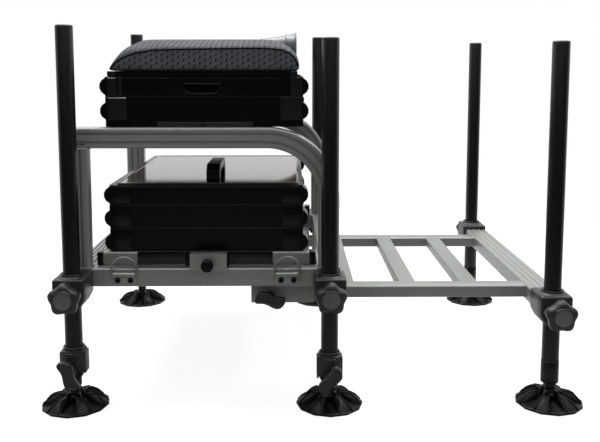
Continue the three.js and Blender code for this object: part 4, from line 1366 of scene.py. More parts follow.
@dataclass(frozen=True)
class MudFoot:
    """A round foot with six ridged lobes, the fork on top and the bolt that the leg turns on."""

    radius: float = 59.0
    lobes: int = 6
    hub: float = 16.0
    slot: float = 6.3
    pivot: float = 18.0
    hub_height: float = 29.0
    ridge: float = 1.25
    head: float = 2.5

    def lobe(self, angle: float) -> list[bmesh.types.BMesh]:
        """Makes one lobe with its two ridges.

        Args:
            angle: Its direction.

        Returns:
            The meshes.
        """
        corners = [(57.6, 7, 3.4), (52, 16, 3.6), (21, 9, 8), (37.5, 3.4, 20.6), (26, 4.4, 23.2),
                   (19.5, 4.6, 21.0), (46, 8.4, 14.5)]
        mesh = bmesh.new()
        for x, y, z in corners:
            mesh.verts.new((x, y, z))
            mesh.verts.new((x, -y, z))
        bmesh.ops.convex_hull(mesh, input=mesh.verts[:])
        loose = [vert for vert in mesh.verts if not vert.link_faces]
        bmesh.ops.delete(mesh, geom=loose, context="VERTS")
        bmesh.ops.dissolve_limit(mesh, angle_limit=math.radians(2), verts=mesh.verts, edges=mesh.edges)
        rounded(mesh, 1.6, 3)
        turn = Matrix.Rotation(angle, 4, "Z")
        crest = [(22, 5.4, 22.8), (26, 4.8, 23.4), (37.5, 3.8, 20.9), (46, 8.2, 14.8), (54.5, 13, 5.0),
                 (55.4, 13.6, 2.6)]
        shares = [0.7, 1, 1, 1.1, 1.1, 0.9]
        ridges = [wire([(x, side * y, z) for x, y, z in crest], self.ridge, sides=2, radii=shares)
                  for side in (-1, 1)]
        return [placed(part, turn) for part in (mesh, *ridges)]

    def meshes(self) -> list[bmesh.types.BMesh]:
        """Makes the whole foot.

        Returns:
            The meshes.
        """
        r, round_outline = self.radius, arc(1.0, (0, 4), 12)[:-1]
        levels = levels_from(0, (0, r - 2), (1.2, r - 0.3), (2.2, r), (4, r), (5, r - 1.2), (5.2, r - 5),
                             (6.5, r - 16), (9.5, 30), (11.5, 24))
        parts = [lofted(round_outline, levels)]
        for index in range(self.lobes):
            parts += self.lobe(FULL_TURN * index / self.lobes)
        ear = [(-self.hub, 6), (self.hub, 6), (self.hub - 1, 17), (11, 26), (7.5, self.hub_height),
               (-7.5, self.hub_height), (-11, 26), (-self.hub + 1, 17)]
        for side in ((-self.hub, -self.slot), (self.slot, self.hub)):
            parts.append(prism(ear, Plane.XZ, side, 1.6, 3))
        parts.append(block((-self.hub, self.hub), (-self.hub + 1, self.hub - 1), (5, 7.6), 1.0))
        return parts

    def bolt(self) -> list[bmesh.types.BMesh]:
        """Makes the bolt through the fork, with its socket head to the outside.

        Returns:
            The meshes.
        """
        shank = turned([(0, -self.hub + 2), (3.5, -self.hub + 2), (3.5, self.hub - 2), (0, self.hub - 2)], 20)
        head = placed(hex_bolt(5.5, self.head, 2.6), at(z=self.hub))
        return [placed(part, OUTWARD, at(z=self.pivot)) for part in (shank, head)]


@dataclass(frozen=True)
class Leg:
    """One leg, from its cap down to its foot."""

    name: str
    x: float
    side: Side
    top: float
    lower: float
    front: bool = False
    tilt: float = 0.26
    radius: float = 15.0
    bore: float = 13.0
    cap: float = 5.0
    collar_height: float = 56.0
    socket: float = 27.0
    inner: float = 11.5
    head: float = 12.7
    inside: float = 195.0
    barrel_bottom: float = 38.0
    sleeve: float = 15.6
    sleeve_bottom: float = 39.0
    pivot: float = 18.0
    clamp_top: float = 240.0
    front_clamp_top: float = 208.0
    screw_drop: float = 41.0
    grip_front: float = 48.0
    grip_back: float = 27.0
    tongue_half: float = 9.0

    @property
    def place(self) -> Matrix:
        """Gives what takes the leg's own places to the frame."""
        return TO_FRAME @ stood(self.x, self.side)

    @property
    def tube_bottom(self) -> float:
        """Gives the height of the tube's lower end."""
        return self.lower if self.front else self.lower - self.socket + GAP

    def show(self, name: str, meshes: Sequence[bmesh.types.BMesh], look: Look, *replaced: str) -> None:
        """Finishes one piece of this leg.

        Args:
            name: The piece, before the leg's own name.
            meshes: Its meshes, in the leg's own places.
            look: Its finish and body.
            replaced: The CAD nodes that it stands for, before the leg's own name.
        """
        nodes = [f"{node}_{self.name}" for node in replaced]
        look.dress(to_object(f"{name}_{self.name}", meshes, self.place), *nodes)

    def tongue(self, top: float) -> bmesh.types.BMesh:
        """Makes the flat end that is bolted in the foot's fork.

        Args:
            top: Where it enters the leg.

        Returns:
            The mesh.
        """
        half = self.tongue_half
        end = arc(half, (2, 4), 14, (0.0, self.pivot))
        return prism([*end, (half, top), (-half, top)], Plane.XZ, (-6, 6), 0.8)

    def tube(self) -> None:
        """Builds the tube and the domed cap in its top."""
        low, high = self.tube_bottom, self.top
        shell = turned([(self.bore, low), (self.radius, low), (self.radius, high - self.cap - 0.5),
                        (self.radius - 0.25, high - self.cap), (self.bore, high - self.cap)], FINE, hollow=True)
        self.show("leg_tube_drawn", [shell], Look(LEG_BLACK, Slot.ANODISED, f"leg_{self.name}"), "leg_tube")
        r = self.radius
        cap = turned([(0, high - 9), (self.bore - 0.2, high - 9), (self.bore - 0.2, high - self.cap + 0.1),
                      (r - 0.5, high - self.cap + 0.1), (r, high - self.cap + 0.6), (r, high - 3.0),
                      (r - 0.5, high - 1.7), (r - 1.7, high - 0.8), (r - 4, high - 0.25), (0, high)], FINE)
        self.show("leg_cap", [cap], Look(CLAMP_BLACK, Slot.CLAMP, f"leg_{self.name}"))

    def collar(self) -> None:
        """Builds the lock collar and the wing grip in it."""
        high = self.lower
        levels = levels_from(high, (-56, 0.60), (-54.8, 0.655), (-47, 0.83), (-40.5, 0.985), (-38, 1), (-30, 1),
                             (-18, 0.965), (-8, 0.93), (-6.3, 0.915), (-5.6, 0.86))
        shell = lofted(squircle(22, 3.4, FINE), levels, bore=self.inner + GAP)
        bore = self.radius + 0.35
        lip = turned(profile(high, (bore, -7), (18.2, -7), (17.9, -4.6), (18.7, -3.6), (18.7, -1.4),
                             (17.9, -0.3), (16.4, 0), (bore, -0.9)), FINE, hollow=True)
        panel = rounded(block((-11, 11), (-22.7, -18), (high - 31, high - 9), 0), 1.8, 3)
        boss = turned([(3.8, 12), (9.6, 12), (9.4, 24.5), (8.6, 26.7), (3.8, 26.7)], 32, hollow=True)
        placed(boss, OUTWARD, at(z=high - self.screw_drop))
        ridges = [rounded(block((side - 1.6, side + 1.6), (-13, 13), (high - 47, high - 9), 0), 1.2, 2)
                  for side in (-21.0, 21.0)]
        moulded = Look(CLAMP_BLACK, Slot.CLAMP, f"leg_{self.name}")
        self.show("lock_collar_moulded", [shell, lip, panel, boss, *ridges], moulded, "lock_collar")
        grip = WingGrip(self.grip_front, self.grip_back, self.head + GAP, self.tilt)
        meshes = [placed(part, at(z=high - self.screw_drop)) for part in grip.meshes()]
        self.show("wing_grip", meshes, Look(CLAMP_BLACK, Slot.CLAMP, f"wing_knob_{self.name}"), "wing_knob")

    def inner_leg(self) -> None:
        """Builds the leg that slides in the tube."""
        high, low = self.tube_bottom + self.inside, self.barrel_bottom
        foot = profile(low, (0, 0), (self.inner - 0.8, 0), (self.inner, 0.8))
        head = profile(high, (self.inner, -15), (self.head, -14.5), (self.head, -0.6), (self.head - 0.6, 0),
                       (0, 0))
        barrel = turned(foot + head, 40)
        look = Look(LEG_BLACK, Slot.ANODISED, f"inner_leg_{self.name}")
        self.show("inner_leg_drawn", [barrel, self.tongue(low + 2)], look, "inner_leg")

    def stub(self) -> None:
        """Builds the stub that plugs into a front leg, with its snap button."""
        low, high, r = self.sleeve_bottom, self.tube_bottom - GAP, self.sleeve
        body = turned([(0, low), (r - 2.4, low), (r - 0.8, low + 0.8), (r, low + 2.4), (r, high - 1.2),
                       (r - 0.6, high - 0.3), (r - 1.4, high), (self.head, high), (self.head, high + 29.4),
                       (self.head - 0.6, high + 30), (0, high + 30)], FINE)
        ring = turned([(2.7, -0.3), (4.0, -0.3), (3.8, 0.25), (2.9, 0.35)], COARSE, hollow=True)
        button = turned([(0, -4), (2.5, -4), (2.5, 0.2), (1.9, 0.8), (0, 1.0)], COARSE)
        place = (OUTWARD, at(y=-r + 0.1, z=high - 18))
        meshes = [body, placed(ring, *place), placed(button, *place), self.tongue(low + 2)]
        self.show("leg_stub_turned", meshes, Look(LEG_BLACK, Slot.ANODISED, f"leg_{self.name}"), "leg_stub")

    def build(self) -> None:
        """Builds the leg's pieces in order."""
        clamp = ClampBlock(self.front_clamp_top if self.front else self.clamp_top)
        carrier = "footplate" if self.front else "chassis"
        self.show("leg_clamp_moulded", clamp.body(), Look(CLAMP_BLACK, Slot.CLAMP, carrier), "leg_clamp")
        knob = Look(CLAMP_BLACK, Slot.CLAMP, f"clamp_knob_{self.name}")
        self.show("clamp_knob_moulded", clamp.knob(), knob, "clamp_knob")
        self.show("clamp_knob_disc", clamp.disc_face(), Look(DISC_GREY, Slot.CLAMP, knob.body))
        self.tube()
        if self.front:
            self.stub()
        else:
            self.inner_leg()
            self.collar()
        foot = MudFoot()
        body = f"mud_foot_{self.name}"
        self.show("mud_foot_moulded", foot.meshes(), Look(FOOT_BLACK, Slot.FOOT, body), "mud_foot")
        self.show("mud_foot_bolt", foot.bolt(), Look(BOLT_BLACK, Slot.STEEL, body))


@dataclass(frozen=True)
class SleeveGrip:
    """The wing grip that locks the footplate in one of its sleeves."""

    side: Side
    x: float = 344.0
    z: float = 174.0
    front: float = -46.0
    back: float = -82.7
    screw_end: float = -87.7

    def build(self) -> None:
        """Builds the grip."""
        grip = WingGrip(self.front, self.back, self.screw_end, math.pi / 2)
        meshes = [placed(part, at(z=self.z), stood(self.x, self.side)) for part in grip.meshes()]
        node = f"sleeve_knob_{self.side.value}"
        Look(CLAMP_BLACK, Slot.CLAMP, node).show(f"sleeve_grip_{self.side.value}", meshes, node)


# Lower stack
@dataclass(frozen=True)
class LowerStack:
    """The slide-out deck with its end caps and strip, the three trays on it and their lid."""

    edge: float = 0.9
    rail: Span = (64.3, 88.0)
    ends: Span = (29.0, 427.0)
    rail_z: Span = (237.3, 261.0)
    cap: float = 12.0
    strip: Span = (102.0, 349.0)
    strip_drop: float = 10.5
    strip_depth: float = 4.0
    trays: tuple[tuple[str, float, float], ...] = (
        ("tray_bottom", 261.3, 305.0), ("tray_middle", 305.3, 348.1), ("tray_top", 348.4, 381.4))
    tray_x: Span = (52.0, 404.0)
    tray_y: Span = (72.0, 568.0)
    casing: float = 38.0
    casing_depth: float = 6.0
    proud: float = 0.8
    plate_bottom: float = 382.0
    plate_top: float = 383.4
    board_x: Span = (66.0, 396.0)
    board_y: Span = (76.0, 538.0)
    board_rim: float = 3.0
    lid_top: float = 386.7
    lid_dish: float = 0.8
    handle_x: Span = (226.5, 251.5)
    handle_y: Span = (92.0, 220.0)
    handle_top: float = 418.7
    handle_slope: float = 12.0
    fingers_y: Span = (112.0, 200.0)
    fingers_top: float = 403.7
    fingers_cut: float = 4.0

    def deck(self) -> None:
        """Builds the deck, its black end caps, the strip on its near rail, and under the strip a dark grey
        sheet over the rail's face that is painted shade.
        """
        refined("slide_deck", Look(FRAME_GREY, Slot.FRAME, "deck"), self.edge)
        near, (low, high), (rear, front) = self.rail[0], self.rail_z, self.ends
        y, z = shrunk(self.rail, -0.15), (low + 0.1, high + 0.2)
        parts = []
        for side in BOTH_SIDES:
            for x in ((rear - 0.2, rear + self.cap), (front - self.cap, front + 0.2)):
                parts.append(placed(block(x, y, z, 1.2), side))
        z = (high - self.strip_drop, high + 0.25)
        parts.append(block(self.strip, (near - 0.25, near + self.strip_depth), z, 0.5))
        Look(CAP_BLACK, Slot.TRAY, "deck").show("deck_caps_and_strip", parts)
        # a dark grey sheet over the near rail's face under the strip: painted shade where the rail lies in
        # shadow, not a real panel
        z = (low + 0.8, high - self.strip_drop + 0.4)
        panel = block(self.strip, (near - 0.2, near + self.strip_depth), z, 0.5)
        Look(PANEL_GREY_AND_PAINTED_SHADE, Slot.TRAY, "deck").show("deck_rail_painted_shade", [panel])

    def corners(self, low: float, high: float) -> list[bmesh.types.BMesh]:
        """Makes the casings that stand a little proud on a tray's corners.

        Args:
            low: The tray's bottom.
            high: Its top.

        Returns:
            The meshes.
        """
        parts = []
        near = (self.tray_y[0] - self.proud, self.tray_y[0] + self.casing_depth)
        rear, front = self.tray_x
        for x in ((rear + 1, rear + self.casing), (front - self.casing, front - 1)):
            for side in BOTH_SIDES:
                parts.append(placed(block(x, near, (low + 1.2, high - 3.4), 1.0), side))
        return parts

    def lip(self, high: float) -> list[bmesh.types.BMesh]:
        """Makes the rolled lip along a tray's top, on its two long sides.

        Args:
            high: The tray's top.

        Returns:
            The meshes.
        """
        near = (self.tray_y[0] - self.proud - 0.2, self.tray_y[0] + 2)
        return [placed(block(shrunk(self.tray_x, 1), near, (high - 3.2, high - 0.2), 1.2, 3), side)
                for side in BOTH_SIDES]

    def stack(self) -> None:
        """Builds the trays, with their corner casings and lips."""
        black = Look(TRAY_BLACK, Slot.TRAY, "deck")
        casings, lips = [], []
        for node, low, high in self.trays:
            refined(node, black, self.edge)
            casings += self.corners(low, high)
            lips += self.lip(high)
        Look(CAP_BLACK, Slot.TRAY, "deck").show("tray_corner_casings", casings)
        black.show("tray_lips", lips)

    def lid(self) -> None:
        """Builds the black plate, the glossy board on it, dished inside its rim, and the black handle."""
        plate = block(self.tray_x, self.tray_y, (self.plate_bottom, self.plate_top), 0.6, 3)
        Look(CAP_BLACK, Slot.LID, "lid").show("tray_lid_plate", [plate])
        board = block(self.board_x, self.board_y, (self.plate_top - GAP, self.lid_top), 1.0, 3)
        top = max(board.faces, key=lambda face: face.calc_center_median().z)
        bmesh.ops.inset_region(board, faces=[top], thickness=self.board_rim - 1.0, depth=0)
        bmesh.ops.inset_region(board, faces=[top], thickness=1.0, depth=-self.lid_dish)
        Look(LID_GLOSS, Slot.LID, "lid").show("tray_lid_board", [board], "tray_lid")
        seat = self.lid_top - self.lid_dish - 0.5
        (y0, y1), (f0, f1), under, cut = self.handle_y, self.fingers_y, self.fingers_top, self.fingers_cut
        crest, slope = self.handle_top, self.handle_slope
        outline = [(y0, seat), (f0, seat), (f0, under - cut), (f0 + cut, under), (f1 - cut, under),
                   (f1, under - cut), (f1, seat), (y1, seat), (y1, crest - slope), (y1 - slope, crest),
                   (y0 + slope, crest), (y0, crest - slope)]
        grip = prism(outline, Plane.YZ, self.handle_x, 2.2, 3)
        Look(CAP_BLACK, Slot.TRAY, "lid").show("tray_lid_handle", [grip])

    def build(self) -> None:
        """Builds the whole stack."""
        self.deck()
        self.stack()
        self.lid()


# Seat pod
@dataclass(frozen=True)
class Casing:
    """A corner casing of the pod: its span along X and Z, and how proud it stands."""

    x: Span
    z: Span
    proud: float
    # whether the casing has the wide top chamfer with the painted highlight strip on it
    bright: bool = True


@dataclass(frozen=True)
class SeatPod:
    """The deep tray, the drawer housing, the drawer and the seat base, with their corner casings."""

    edge: float = 0.9
    near: float = 48.0
    # width of the wide chamfer that carries the painted highlight strip
    strip: float = 2.4
    tray_casings: tuple[Casing, ...] = (
        Casing((59.6, 92.5), (503.0, 544.0), 1.2), Casing((363.7, 402.5), (503.0, 544.0), 1.2, bright=False))
    housing_casings: tuple[Casing, ...] = (
        Casing((59.6, 75.2), (545.0, 578.8), 1.2), Casing((382.0, 402.5), (545.0, 578.8), 1.2, bright=False),
        Casing((77.5, 85.6), (545.6, 578.4), 0.6, bright=False))
    seat_casings: tuple[Casing, ...] = (
        Casing((59.6, 73.7), (579.8, 588.5), 0.9, bright=False),
        Casing((382.0, 394.0), (579.8, 588.5), 0.9, bright=False))
    pull_x: Span = (196.0, 256.0)
    pull_z: Span = (550.5, 566.0)
    pull_steps: int = 28
    pull_rise: float = 8.0
    foot_x: Span = (144.9, 315.3)
    foot_z: Span = (490.8, 499.6)
    foot_depth: float = 14.0
    foot_curve: float = 3.5
    foot_steps: int = 5
    foot_screw: float = 228.0
    screw: tuple[float, float, float] = (2.6, 1.1, 1.3)
    seat_ends: tuple[Span, Span] = ((55.0, 59.6), (404.0, 394.0))

    def cases(self, name: str, body: str, casings: Sequence[Casing]) -> None:
        """Builds corner casings, and on each one that has it a thin grey metal strip along the top slant, which
        is a painted highlight of the overhead light.

        Args:
            name: Name of the piece.
            body: The body that they are fixed to.
            casings: The casings on the near side; the far side has the same.
        """
        blocks, highlight_strips = [], []
        for casing in casings:
            top, face = casing.z[1], self.near - casing.proud
            cut = self.strip if casing.bright else 0.6
            section = [(face, casing.z[0]), (face, top - cut), (face + cut, top), (self.near + 6, top),
                       (self.near + 6, casing.z[0])]
            # the slant strip is a painted highlight: grey metal over the black chamfer where the overhead light
            # reflects
            slant = [(face - 0.06, top - cut), (face + cut - 0.06, top + 0.03), (face + cut + 0.5, top - 0.5),
                     (face + 0.5, top - cut - 0.5)]
            for side in BOTH_SIDES:
                blocks.append(placed(prism(section, Plane.YZ, casing.x, 0.35), side))
                if casing.bright:
                    highlight_strips.append(placed(prism(slant, Plane.YZ, shrunk(casing.x, CAP_INSET)), side))
        Look(CASING_BLACK, Slot.TRAY, body).show(name, blocks)
        # the strips are painted highlights, not a bright part of the casing
        if highlight_strips:
            Look(PAINTED_HIGHLIGHT_STRIP, Slot.STEEL, body).show(f"{name}_edges", highlight_strips)

    def pull_rim(self) -> bmesh.types.BMesh:
        """Makes the thin raised rim round the drawer's pull, with rounded lower corners.

        Returns:
            The mesh.
        """
        (x0, x1), (low, high), steps, rise = self.pull_x, self.pull_z, self.pull_steps, self.pull_rise
        y = self.near - 0.2
        shares = [-math.cos(math.pi * step / steps) for step in range(steps + 1)]
        middle, half = (x0 + x1) / 2, (x1 - x0) / 2 + 1
        path = [(middle + half * share, y, low - 1 + rise * share**6) for share in shares]
        path = [(x0 - 1, y, high + 1), *path, (x1 + 1, y, high + 1)]
        return wire(path, 0.8, closed=True, sides=2)

    def foot(self) -> None:
        """Builds the strip along the pod's foot, with rounded upper corners and a screw."""
        for side, turn in zip(Side, BOTH_SIDES):
            (x0, x1), (low, high), curve, steps = self.foot_x, self.foot_z, self.foot_curve, self.foot_steps
            outline = [(x0, low), (x1, low), *arc(curve, (0, 1), steps, (x1 - curve, high - curve)),
                       *arc(curve, (1, 2), steps, (x0 + curve, high - curve))]
            face = self.near - 0.5
            strip = prism(outline, Plane.XZ, (face, self.near + self.foot_depth), 0.5)
            name = f"pod_foot_strip_{side.value}"
            Look(PANEL_GREY_AND_PAINTED_SHADE, Slot.TRAY, "chassis").show(name, [placed(strip, turn)])
            place = at(self.foot_screw, face, (low + high) / 2 - 0.5)
            screw = placed(hex_bolt(*self.screw), OUTWARD, place, turn)
            Look(BOLT_BLACK, Slot.STEEL, "chassis").show(f"pod_foot_screw_{side.value}", [screw])

    def seat_base(self) -> None:
        """Builds the board under the cushion, with its two ends brought in."""
        base = refined("seat_base", Look(TRAY_BLACK, Slot.TRAY, "seat"), self.edge)
        for vert in base.data.vertices:
            for had, end in self.seat_ends:
                if abs((TO_PART @ vert.co).x - had) < 1.0:
                    vert.co.x = (TO_FRAME @ Vector((end, 0, 0))).x

    def build(self) -> None:
        """Builds the pod's pieces."""
        self.foot()
        tray = Look(TRAY_BLACK, Slot.TRAY, "chassis")
        refined("pod_tray", tray, self.edge)
        refined("drawer_housing", tray, self.edge)
        refined("side_drawer", Look(TRAY_BLACK, Slot.TRAY, "drawer"), self.edge)
        self.seat_base()
        self.cases("pod_tray_casings", "chassis", self.tray_casings)
        self.cases("drawer_housing_casings", "chassis", self.housing_casings)
        self.cases("seat_base_casings", "seat", self.seat_casings)
        Look(CASING_BLACK, Slot.TRAY, "drawer").show("drawer_pull_rim", [self.pull_rim()])


@dataclass(frozen=True)
class Fall:
    """How a cushion falls to its end: the power and the root of the curve, at the seams and in the middle."""

    seam: tuple[float, float]
    middle: tuple[float, float]

    def share(self, u: float, puff: float, least: float) -> float:
        """Gives the share of the full height.

        Args:
            u: Place from 0 in the middle to 1 at the end.
            puff: 0 on the seams, 1 in the middle between them.
            least: Share that is left at the end.

        Returns:
            The share.
        """
        power, root = (a + (b - a) * puff for a, b in zip(self.seam, self.middle))
        return max(least, 1 - abs(u)**power)**root


@dataclass(frozen=True)
class SeatCushion:
    """The padded seat, swelled by a cloth simulation between its two long seams."""

    x: Span = (59.0, 400.0)
    y: Span = (50.0, 590.0)
    bottom: float = 589.1
    edge_height: float = 41.0
    crown_height: float = 60.5
    edge_rise: float = 0.05
    edge_share: float = 0.06
    rear: Fall = Fall((4, 0.7), (14, 0.35))
    front: Fall = Fall((8, 0.5), (9, 0.45))
    cells: int = 64
    shrink: float = 0.99
    voxel: float = 0.005
    pressure: float = 4.0
    frames: int = 20
    cap: float = 2.5
    seam_reach: float = 5.0
    foot_reach: float = 3.5
    piping: float = 1.7
    seam_steps: int = 90

    def seam(self, y: float) -> list[Vector]:
        """Gives the seam over one long side, from the rear foot to the front one.

        Args:
            y: The side's place.

        Returns:
            Points in millimetres.
        """
        points = []
        half, centre = (self.x[1] - self.x[0]) / 2, sum(self.x) / 2
        for step in range(self.seam_steps + 1):
            u = math.sin(math.pi / 2 * (2 * step / self.seam_steps - 1))
            points.append(Vector((centre + u * half, y, self.bottom + self.height(u, 1))))
        return points

    def height(self, u: float, v: float) -> float:
        """Gives the finished cushion's height.

        Args:
            u: Place along X, from -1 to 1.
            v: Place along Y, from -1 to 1.

        Returns:
            The height over the seat.
        """
        puff = math.sqrt(max(0.0, 1 - v * v))
        edge = self.edge_height * (1 + self.edge_rise * u)
        fall = self.rear if u < 0 else self.front
        return (edge + (self.crown_height - edge) * puff) * fall.share(u, puff, self.edge_share)

    def start(self) -> bpy.types.Object:
        """Makes the pad's first shape: a domed top over a flat foot, a little smaller and in even facets.

        Returns:
            The pad, at the origin.
        """
        mesh = bmesh.new()
        bmesh.ops.create_grid(mesh, x_segments=self.cells, y_segments=self.cells, size=1.0)
        grown = bmesh.ops.extrude_face_region(mesh, geom=list(mesh.faces))["geom"]
        top = {part for part in grown if isinstance(part, bmesh.types.BMVert)}
        (x0, x1), (y0, y1) = self.x, self.y
        for vert in mesh.verts:
            u, v = (math.sin(place * math.pi / 2) for place in vert.co.xy)
            rise = self.height(u, v) * self.shrink if vert in top else 0.0
            x, y = u * self.shrink * (x1 - x0) / 2, v * self.shrink * (y1 - y0) / 2
            vert.co = ((x0 + x1) / 2 + x, (y0 + y1) / 2 + y, self.bottom + rise)
        bmesh.ops.recalc_face_normals(mesh, faces=mesh.faces)
        pad = to_object("seat_cushion_pad", [mesh])
        remesh = pad.modifiers.new("even", "REMESH")
        remesh.mode = "VOXEL"
        remesh.voxel_size = self.voxel
        self.bake(pad)
        return pad

    @staticmethod
    def bake(pad: bpy.types.Object) -> None:
        """Applies a piece's modifiers at the scene's present frame.

        Args:
            pad: The piece.
        """
        seen = pad.evaluated_get(bpy.context.evaluated_depsgraph_get())
        baked = bpy.data.meshes.new_from_object(seen)
        pad.modifiers.clear()
        old = pad.data
        pad.data = baked
        bpy.data.meshes.remove(old)

    def swell(self, pad: bpy.types.Object) -> None:
        """Swells the pad, holding its foot and its seams, and caps how far each point moves.

        Args:
            pad: The pad.
        """
        seams = [TO_FRAME @ point for y in self.y for point in self.seam(y)]
        held = pad.vertex_groups.new(name="held")
        low = self.bottom * MILLIMETRE + self.foot_reach * MILLIMETRE
        for vert in pad.data.vertices:
            near = min((vert.co - point).length for point in seams)
            if vert.co.z < low or near < self.seam_reach * MILLIMETRE:
                held.add([vert.index], 1.0, "REPLACE")
        before = [vert.co.copy() for vert in pad.data.vertices]
        cloth = pad.modifiers.new("swell", "CLOTH")
        cloth.settings.use_pressure = True
        cloth.settings.uniform_pressure_force = self.pressure
        cloth.settings.effector_weights.gravity = 0
        cloth.settings.vertex_group_mass = "held"
        cloth.point_cache.frame_end = self.frames
        scene = bpy.context.scene
        for number in range(1, self.frames + 1):
            scene.frame_set(number)
        self.bake(pad)
        most = 0.0
        for vert, start in zip(pad.data.vertices, before):
            moved = vert.co - start
            most = max(most, moved.length)
            if moved.length > self.cap * MILLIMETRE:
                vert.co = start + moved.normalized() * self.cap * MILLIMETRE
        scene.frame_set(1)
        log.info("the cushion swelled by up to %.1f mm, capped at %.1f mm", most / MILLIMETRE, self.cap)

    def lined(self, pad: bpy.types.Object) -> None:
        """Sews the piping over the two long seams.

        Args:
            pad: The pad in its last shape.
        """
        mesh = bmesh.new()
        mesh.from_mesh(pad.data)
        tree = BVHTree.FromBMesh(mesh)
        mesh.free()
        cords = []
        for y in self.y:
            found = [tree.find_nearest(TO_FRAME @ point)[0] for point in self.seam(y)]
            cords.append(wire([TO_PART @ point for point in found], self.piping, sides=3))
        Look(PIPING, Slot.FABRIC, "seat").show("cushion_piping", cords)

    def build(self) -> None:
        """Builds the cushion and its piping."""
        pad = self.start()
        self.swell(pad)
        pad.data.shade_smooth()
        smooth = pad.modifiers.new("even_out", "CORRECTIVE_SMOOTH")
        smooth.iterations = 6
        smooth.rest_source = "ORCO"
        smooth.use_only_smooth = True
        self.bake(pad)
        self.lined(pad)
        finer = pad.modifiers.new("finer", "SUBSURF")
        finer.levels = finer.render_levels = 1
        Look(FABRIC, Slot.FABRIC, "seat").dress(pad, "seat_cushion")


@dataclass(frozen=True)
class FlaredCup:
    """A round cup that flares to its mouth, on an arm from the seat's far edge."""

    axis_y: float = 630.0
    axis_z: float = 650.0
    tail: float = 305.0
    mouth: float = 396.0
    arm: Span = (318.0, 342.0)
    seat_edge: float = 592.3
    seat_bottom: float = 579.4
    screw: tuple[float, float, float] = (3.2, 1.6, 1.6)
    screw_x: Span = (323.0, 337.0)
    steps: int = 64

    def shell(self) -> bmesh.types.BMesh:
        """Turns the cup, with its bead and its rolled mouth.

        Returns:
            The mesh.
        """
        outside = profile(self.tail, (0, 0), (12.5, 0), (14.8, 0.6), (15.8, 2.4), (16.6, 9), (18.2, 20),
                          (20, 34), (22.1, 48), (23.8, 57), (25, 62), (25.2, 63.5), (26.6, 64.6), (27.5, 66.4),
                          (27.5, 69.2), (26.8, 71.2), (26.3, 73), (27.2, 78), (28.9, 84), (30.2, 87.4),
                          (31.5, 88.6), (32, 89.6))
        mouth = profile(self.mouth, (31.8, -0.3), (30.9, 0), (29.6, -0.6))
        inside = profile(self.tail, (28.2, 86), (25.4, 76), (23.4, 62), (19.8, 45), (16.4, 28), (14.2, 16),
                         (13.0, 13.4), (0, 13))
        return placed(turned(outside + mouth + inside, self.steps), TO_X, at(0, self.axis_y, self.axis_z))

    def build(self) -> None:
        """Builds the cup, its arm and the arm's two screws."""
        e, b, z = self.seat_edge, self.seat_bottom, self.axis_z
        outline = [(e, b), (e + 6, b), (e + 6.5, b + 6), (self.axis_y - 1, z - 22), (self.axis_y + 3, z - 14),
                   (self.axis_y - 3, z - 14), (e + 5, b + 16), (e, b + 9.4)]
        arm = prism(outline, Plane.YZ, self.arm, 1.4, 3)
        Look(CUP_GREY, Slot.CUP, "seat").show("flared_cup_moulded", [self.shell(), arm], "flared_cup")
        turn = Matrix.Rotation(-math.pi / 2, 4, "X")
        screws = [placed(hex_bolt(*self.screw), turn, at(x, e + 6, b + 4.6)) for x in self.screw_x]
        Look(BOLT_BLACK, Slot.STEEL, "seat").show("flared_cup_screws", screws)


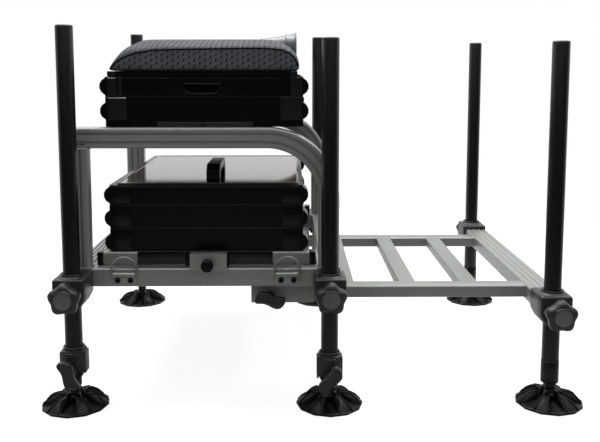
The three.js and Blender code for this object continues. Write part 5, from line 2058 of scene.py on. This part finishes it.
# Studio
@dataclass(frozen=True)
class Studio:
    """The camera of the photograph, a white room, a pale floor and one wide light above."""

    camera_place: tuple[float, float, float] = (-0.0377, -1.6873, 0.5938)
    pitch: float = 6.469
    yaw: float = 0.609
    lens: float = 48.0
    sensor: float = 36.0
    shift_y: float = -0.1033
    ambient: float = 0.35
    behind: Span = (-0.35, 0.45)
    above: Span = (0.45, 0.85)
    above_most: float = 2.2
    dark: float = 0.03
    floor_radius: float = 1.7
    floor_shown: float = 0.86
    light_place: tuple[float, float, float] = (0.0, 0.4, 1.9)
    light_size: tuple[float, float] = (1.9, 1.1)
    light_power: float = 31.0

    def camera(self) -> None:
        """Places the camera."""
        data = bpy.data.cameras.new("photo_camera")
        data.lens, data.sensor_width, data.shift_y = self.lens, self.sensor, self.shift_y
        data.clip_end = 50.0
        made = bpy.data.objects.new("photo_camera", data)
        made.location = self.camera_place
        made.rotation_euler = (math.radians(90 - self.pitch), 0, math.radians(-self.yaw))
        bpy.context.scene.collection.objects.link(made)
        bpy.context.scene.camera = made

    def world(self) -> None:
        """Makes a room that is white to the camera, and in reflections dark only in front."""
        world = bpy.data.worlds.new("white_room")
        world.use_nodes = True
        bpy.context.scene.world = world
        tree = world.node_tree
        tree.nodes.clear()
        ray = add_node(tree, "LightPath").outputs
        ways = add_node(tree, "SeparateXYZ", {0: add_node(tree, "TexCoord").outputs["Generated"]}).outputs
        lit = {}
        for place, (way, span, most) in enumerate(((1, self.behind, 1.0), (2, self.above, self.above_most))):
            values = {"Value": ways[way], "From Min": span[0], "From Max": span[1], "To Min": self.dark,
                      "To Max": most}
            lit[place] = add_node(tree, "MapRange", values, interpolation_type="SMOOTHSTEP").outputs[0]
        mirrored = add_node(tree, "Math", lit, operation="MAXIMUM").outputs[0]
        glossy = self.picked(tree, ray["Is Glossy Ray"], self.ambient, mirrored)
        seen = {0: ray["Is Camera Ray"], 1: ray["Is Transmission Ray"]}
        shown = add_node(tree, "Math", seen, operation="MAXIMUM").outputs[0]
        values = {"Color": (1, 1, 1, 1), "Strength": self.picked(tree, shown, glossy, 1.0)}
        add_node(tree, "OutputWorld", {"Surface": add_node(tree, "Background", values).outputs[0]})

    @staticmethod
    def picked(tree: bpy.types.NodeTree, switch: bpy.types.NodeSocket, off: object,
               on: object) -> bpy.types.NodeSocket:
        """Picks one of two values.

        Args:
            tree: The tree that it is built in.
            switch: Zero or one.
            off: Value or socket for zero.
            on: Value or socket for one.

        Returns:
            The socket with the picked value.
        """
        return add_node(tree, "Mix", {0: switch, 2: off, 3: on}).outputs[0]

    def floor(self) -> None:
        """Lays a pale round floor that is white to the camera and keeps the box's shadow."""
        mesh = bmesh.new()
        bmesh.ops.create_circle(mesh, segments=96, radius=self.floor_radius, cap_ends=True)
        data = bpy.data.meshes.new("floor")
        mesh.to_mesh(data)
        mesh.free()
        made = bpy.data.objects.new("floor", data)
        bpy.context.scene.collection.objects.link(made)
        recipe = Recipe("pale_floor")
        tree = recipe.tree
        ray = recipe.add("LightPath").outputs
        seen = {0: ray["Is Camera Ray"], 1: ray["Is Transmission Ray"]}
        shown = recipe.add("Math", seen, operation="MAXIMUM")
        parts = recipe.add("SeparateXYZ", {0: recipe.add("TexCoord").outputs["Object"]}).outputs
        behind = recipe.ranged(parts[1], (-0.4, 0.3), (0.0, 0.9))
        glossy = self.picked(tree, ray["Is Glossy Ray"], 0.0, behind)
        strength = self.picked(tree, shown.outputs[0], glossy, self.floor_shown)
        recipe.feed(Base_Color=(0.5, 0.5, 0.5, 1), Roughness=1.0, Specular_IOR_Level=0.0,
                    Emission_Color=(1, 1, 1, 1), Emission_Strength=strength)
        data.materials.append(recipe.material)

    def light(self) -> None:
        """Hangs the wide light over the box."""
        data = bpy.data.lights.new("overhead", "AREA")
        data.shape = "RECTANGLE"
        data.size, data.size_y = self.light_size
        data.energy = self.light_power
        made = bpy.data.objects.new("overhead", data)
        made.location = self.light_place
        bpy.context.scene.collection.objects.link(made)

    def build(self) -> None:
        """Builds the studio."""
        self.camera()
        self.world()
        self.floor()
        self.light()
        bpy.context.scene.view_settings.view_transform = "Standard"


def main() -> None:
    """Builds the whole scene."""
    logging.basicConfig(level=logging.INFO, format="%(name)s: %(message)s")
    BaseRing().build()
    for side in Side:
        SideArch(side).build()
    for end, centre in RING_CENTRES.items():
        CarryRing(end, centre).build()
    LatchPlunger().build()
    Footplate().build()
    legs = (
        Leg("near_rear", 0, Side.NEAR, top=667.2, lower=110, tilt=-0.63),
        Leg("near_middle", LEG_PITCH, Side.NEAR, top=646.6, lower=98.5, tilt=0.39),
        Leg("near_front", REACH, Side.NEAR, top=640.8, lower=81, front=True),
        Leg("far_rear", 0, Side.FAR, top=677.5, lower=110),
        Leg("far_middle", LEG_PITCH, Side.FAR, top=670.8, lower=98.5),
        Leg("far_front", REACH, Side.FAR, top=657.2, lower=90, front=True),
    )
    for leg in legs:
        leg.build()
    for side in Side:
        SleeveGrip(side).build()
    LowerStack().build()
    SeatPod().build()
    SeatCushion().build()
    FlaredCup().build()
    Studio().build()


if __name__ == "__main__":
    main()
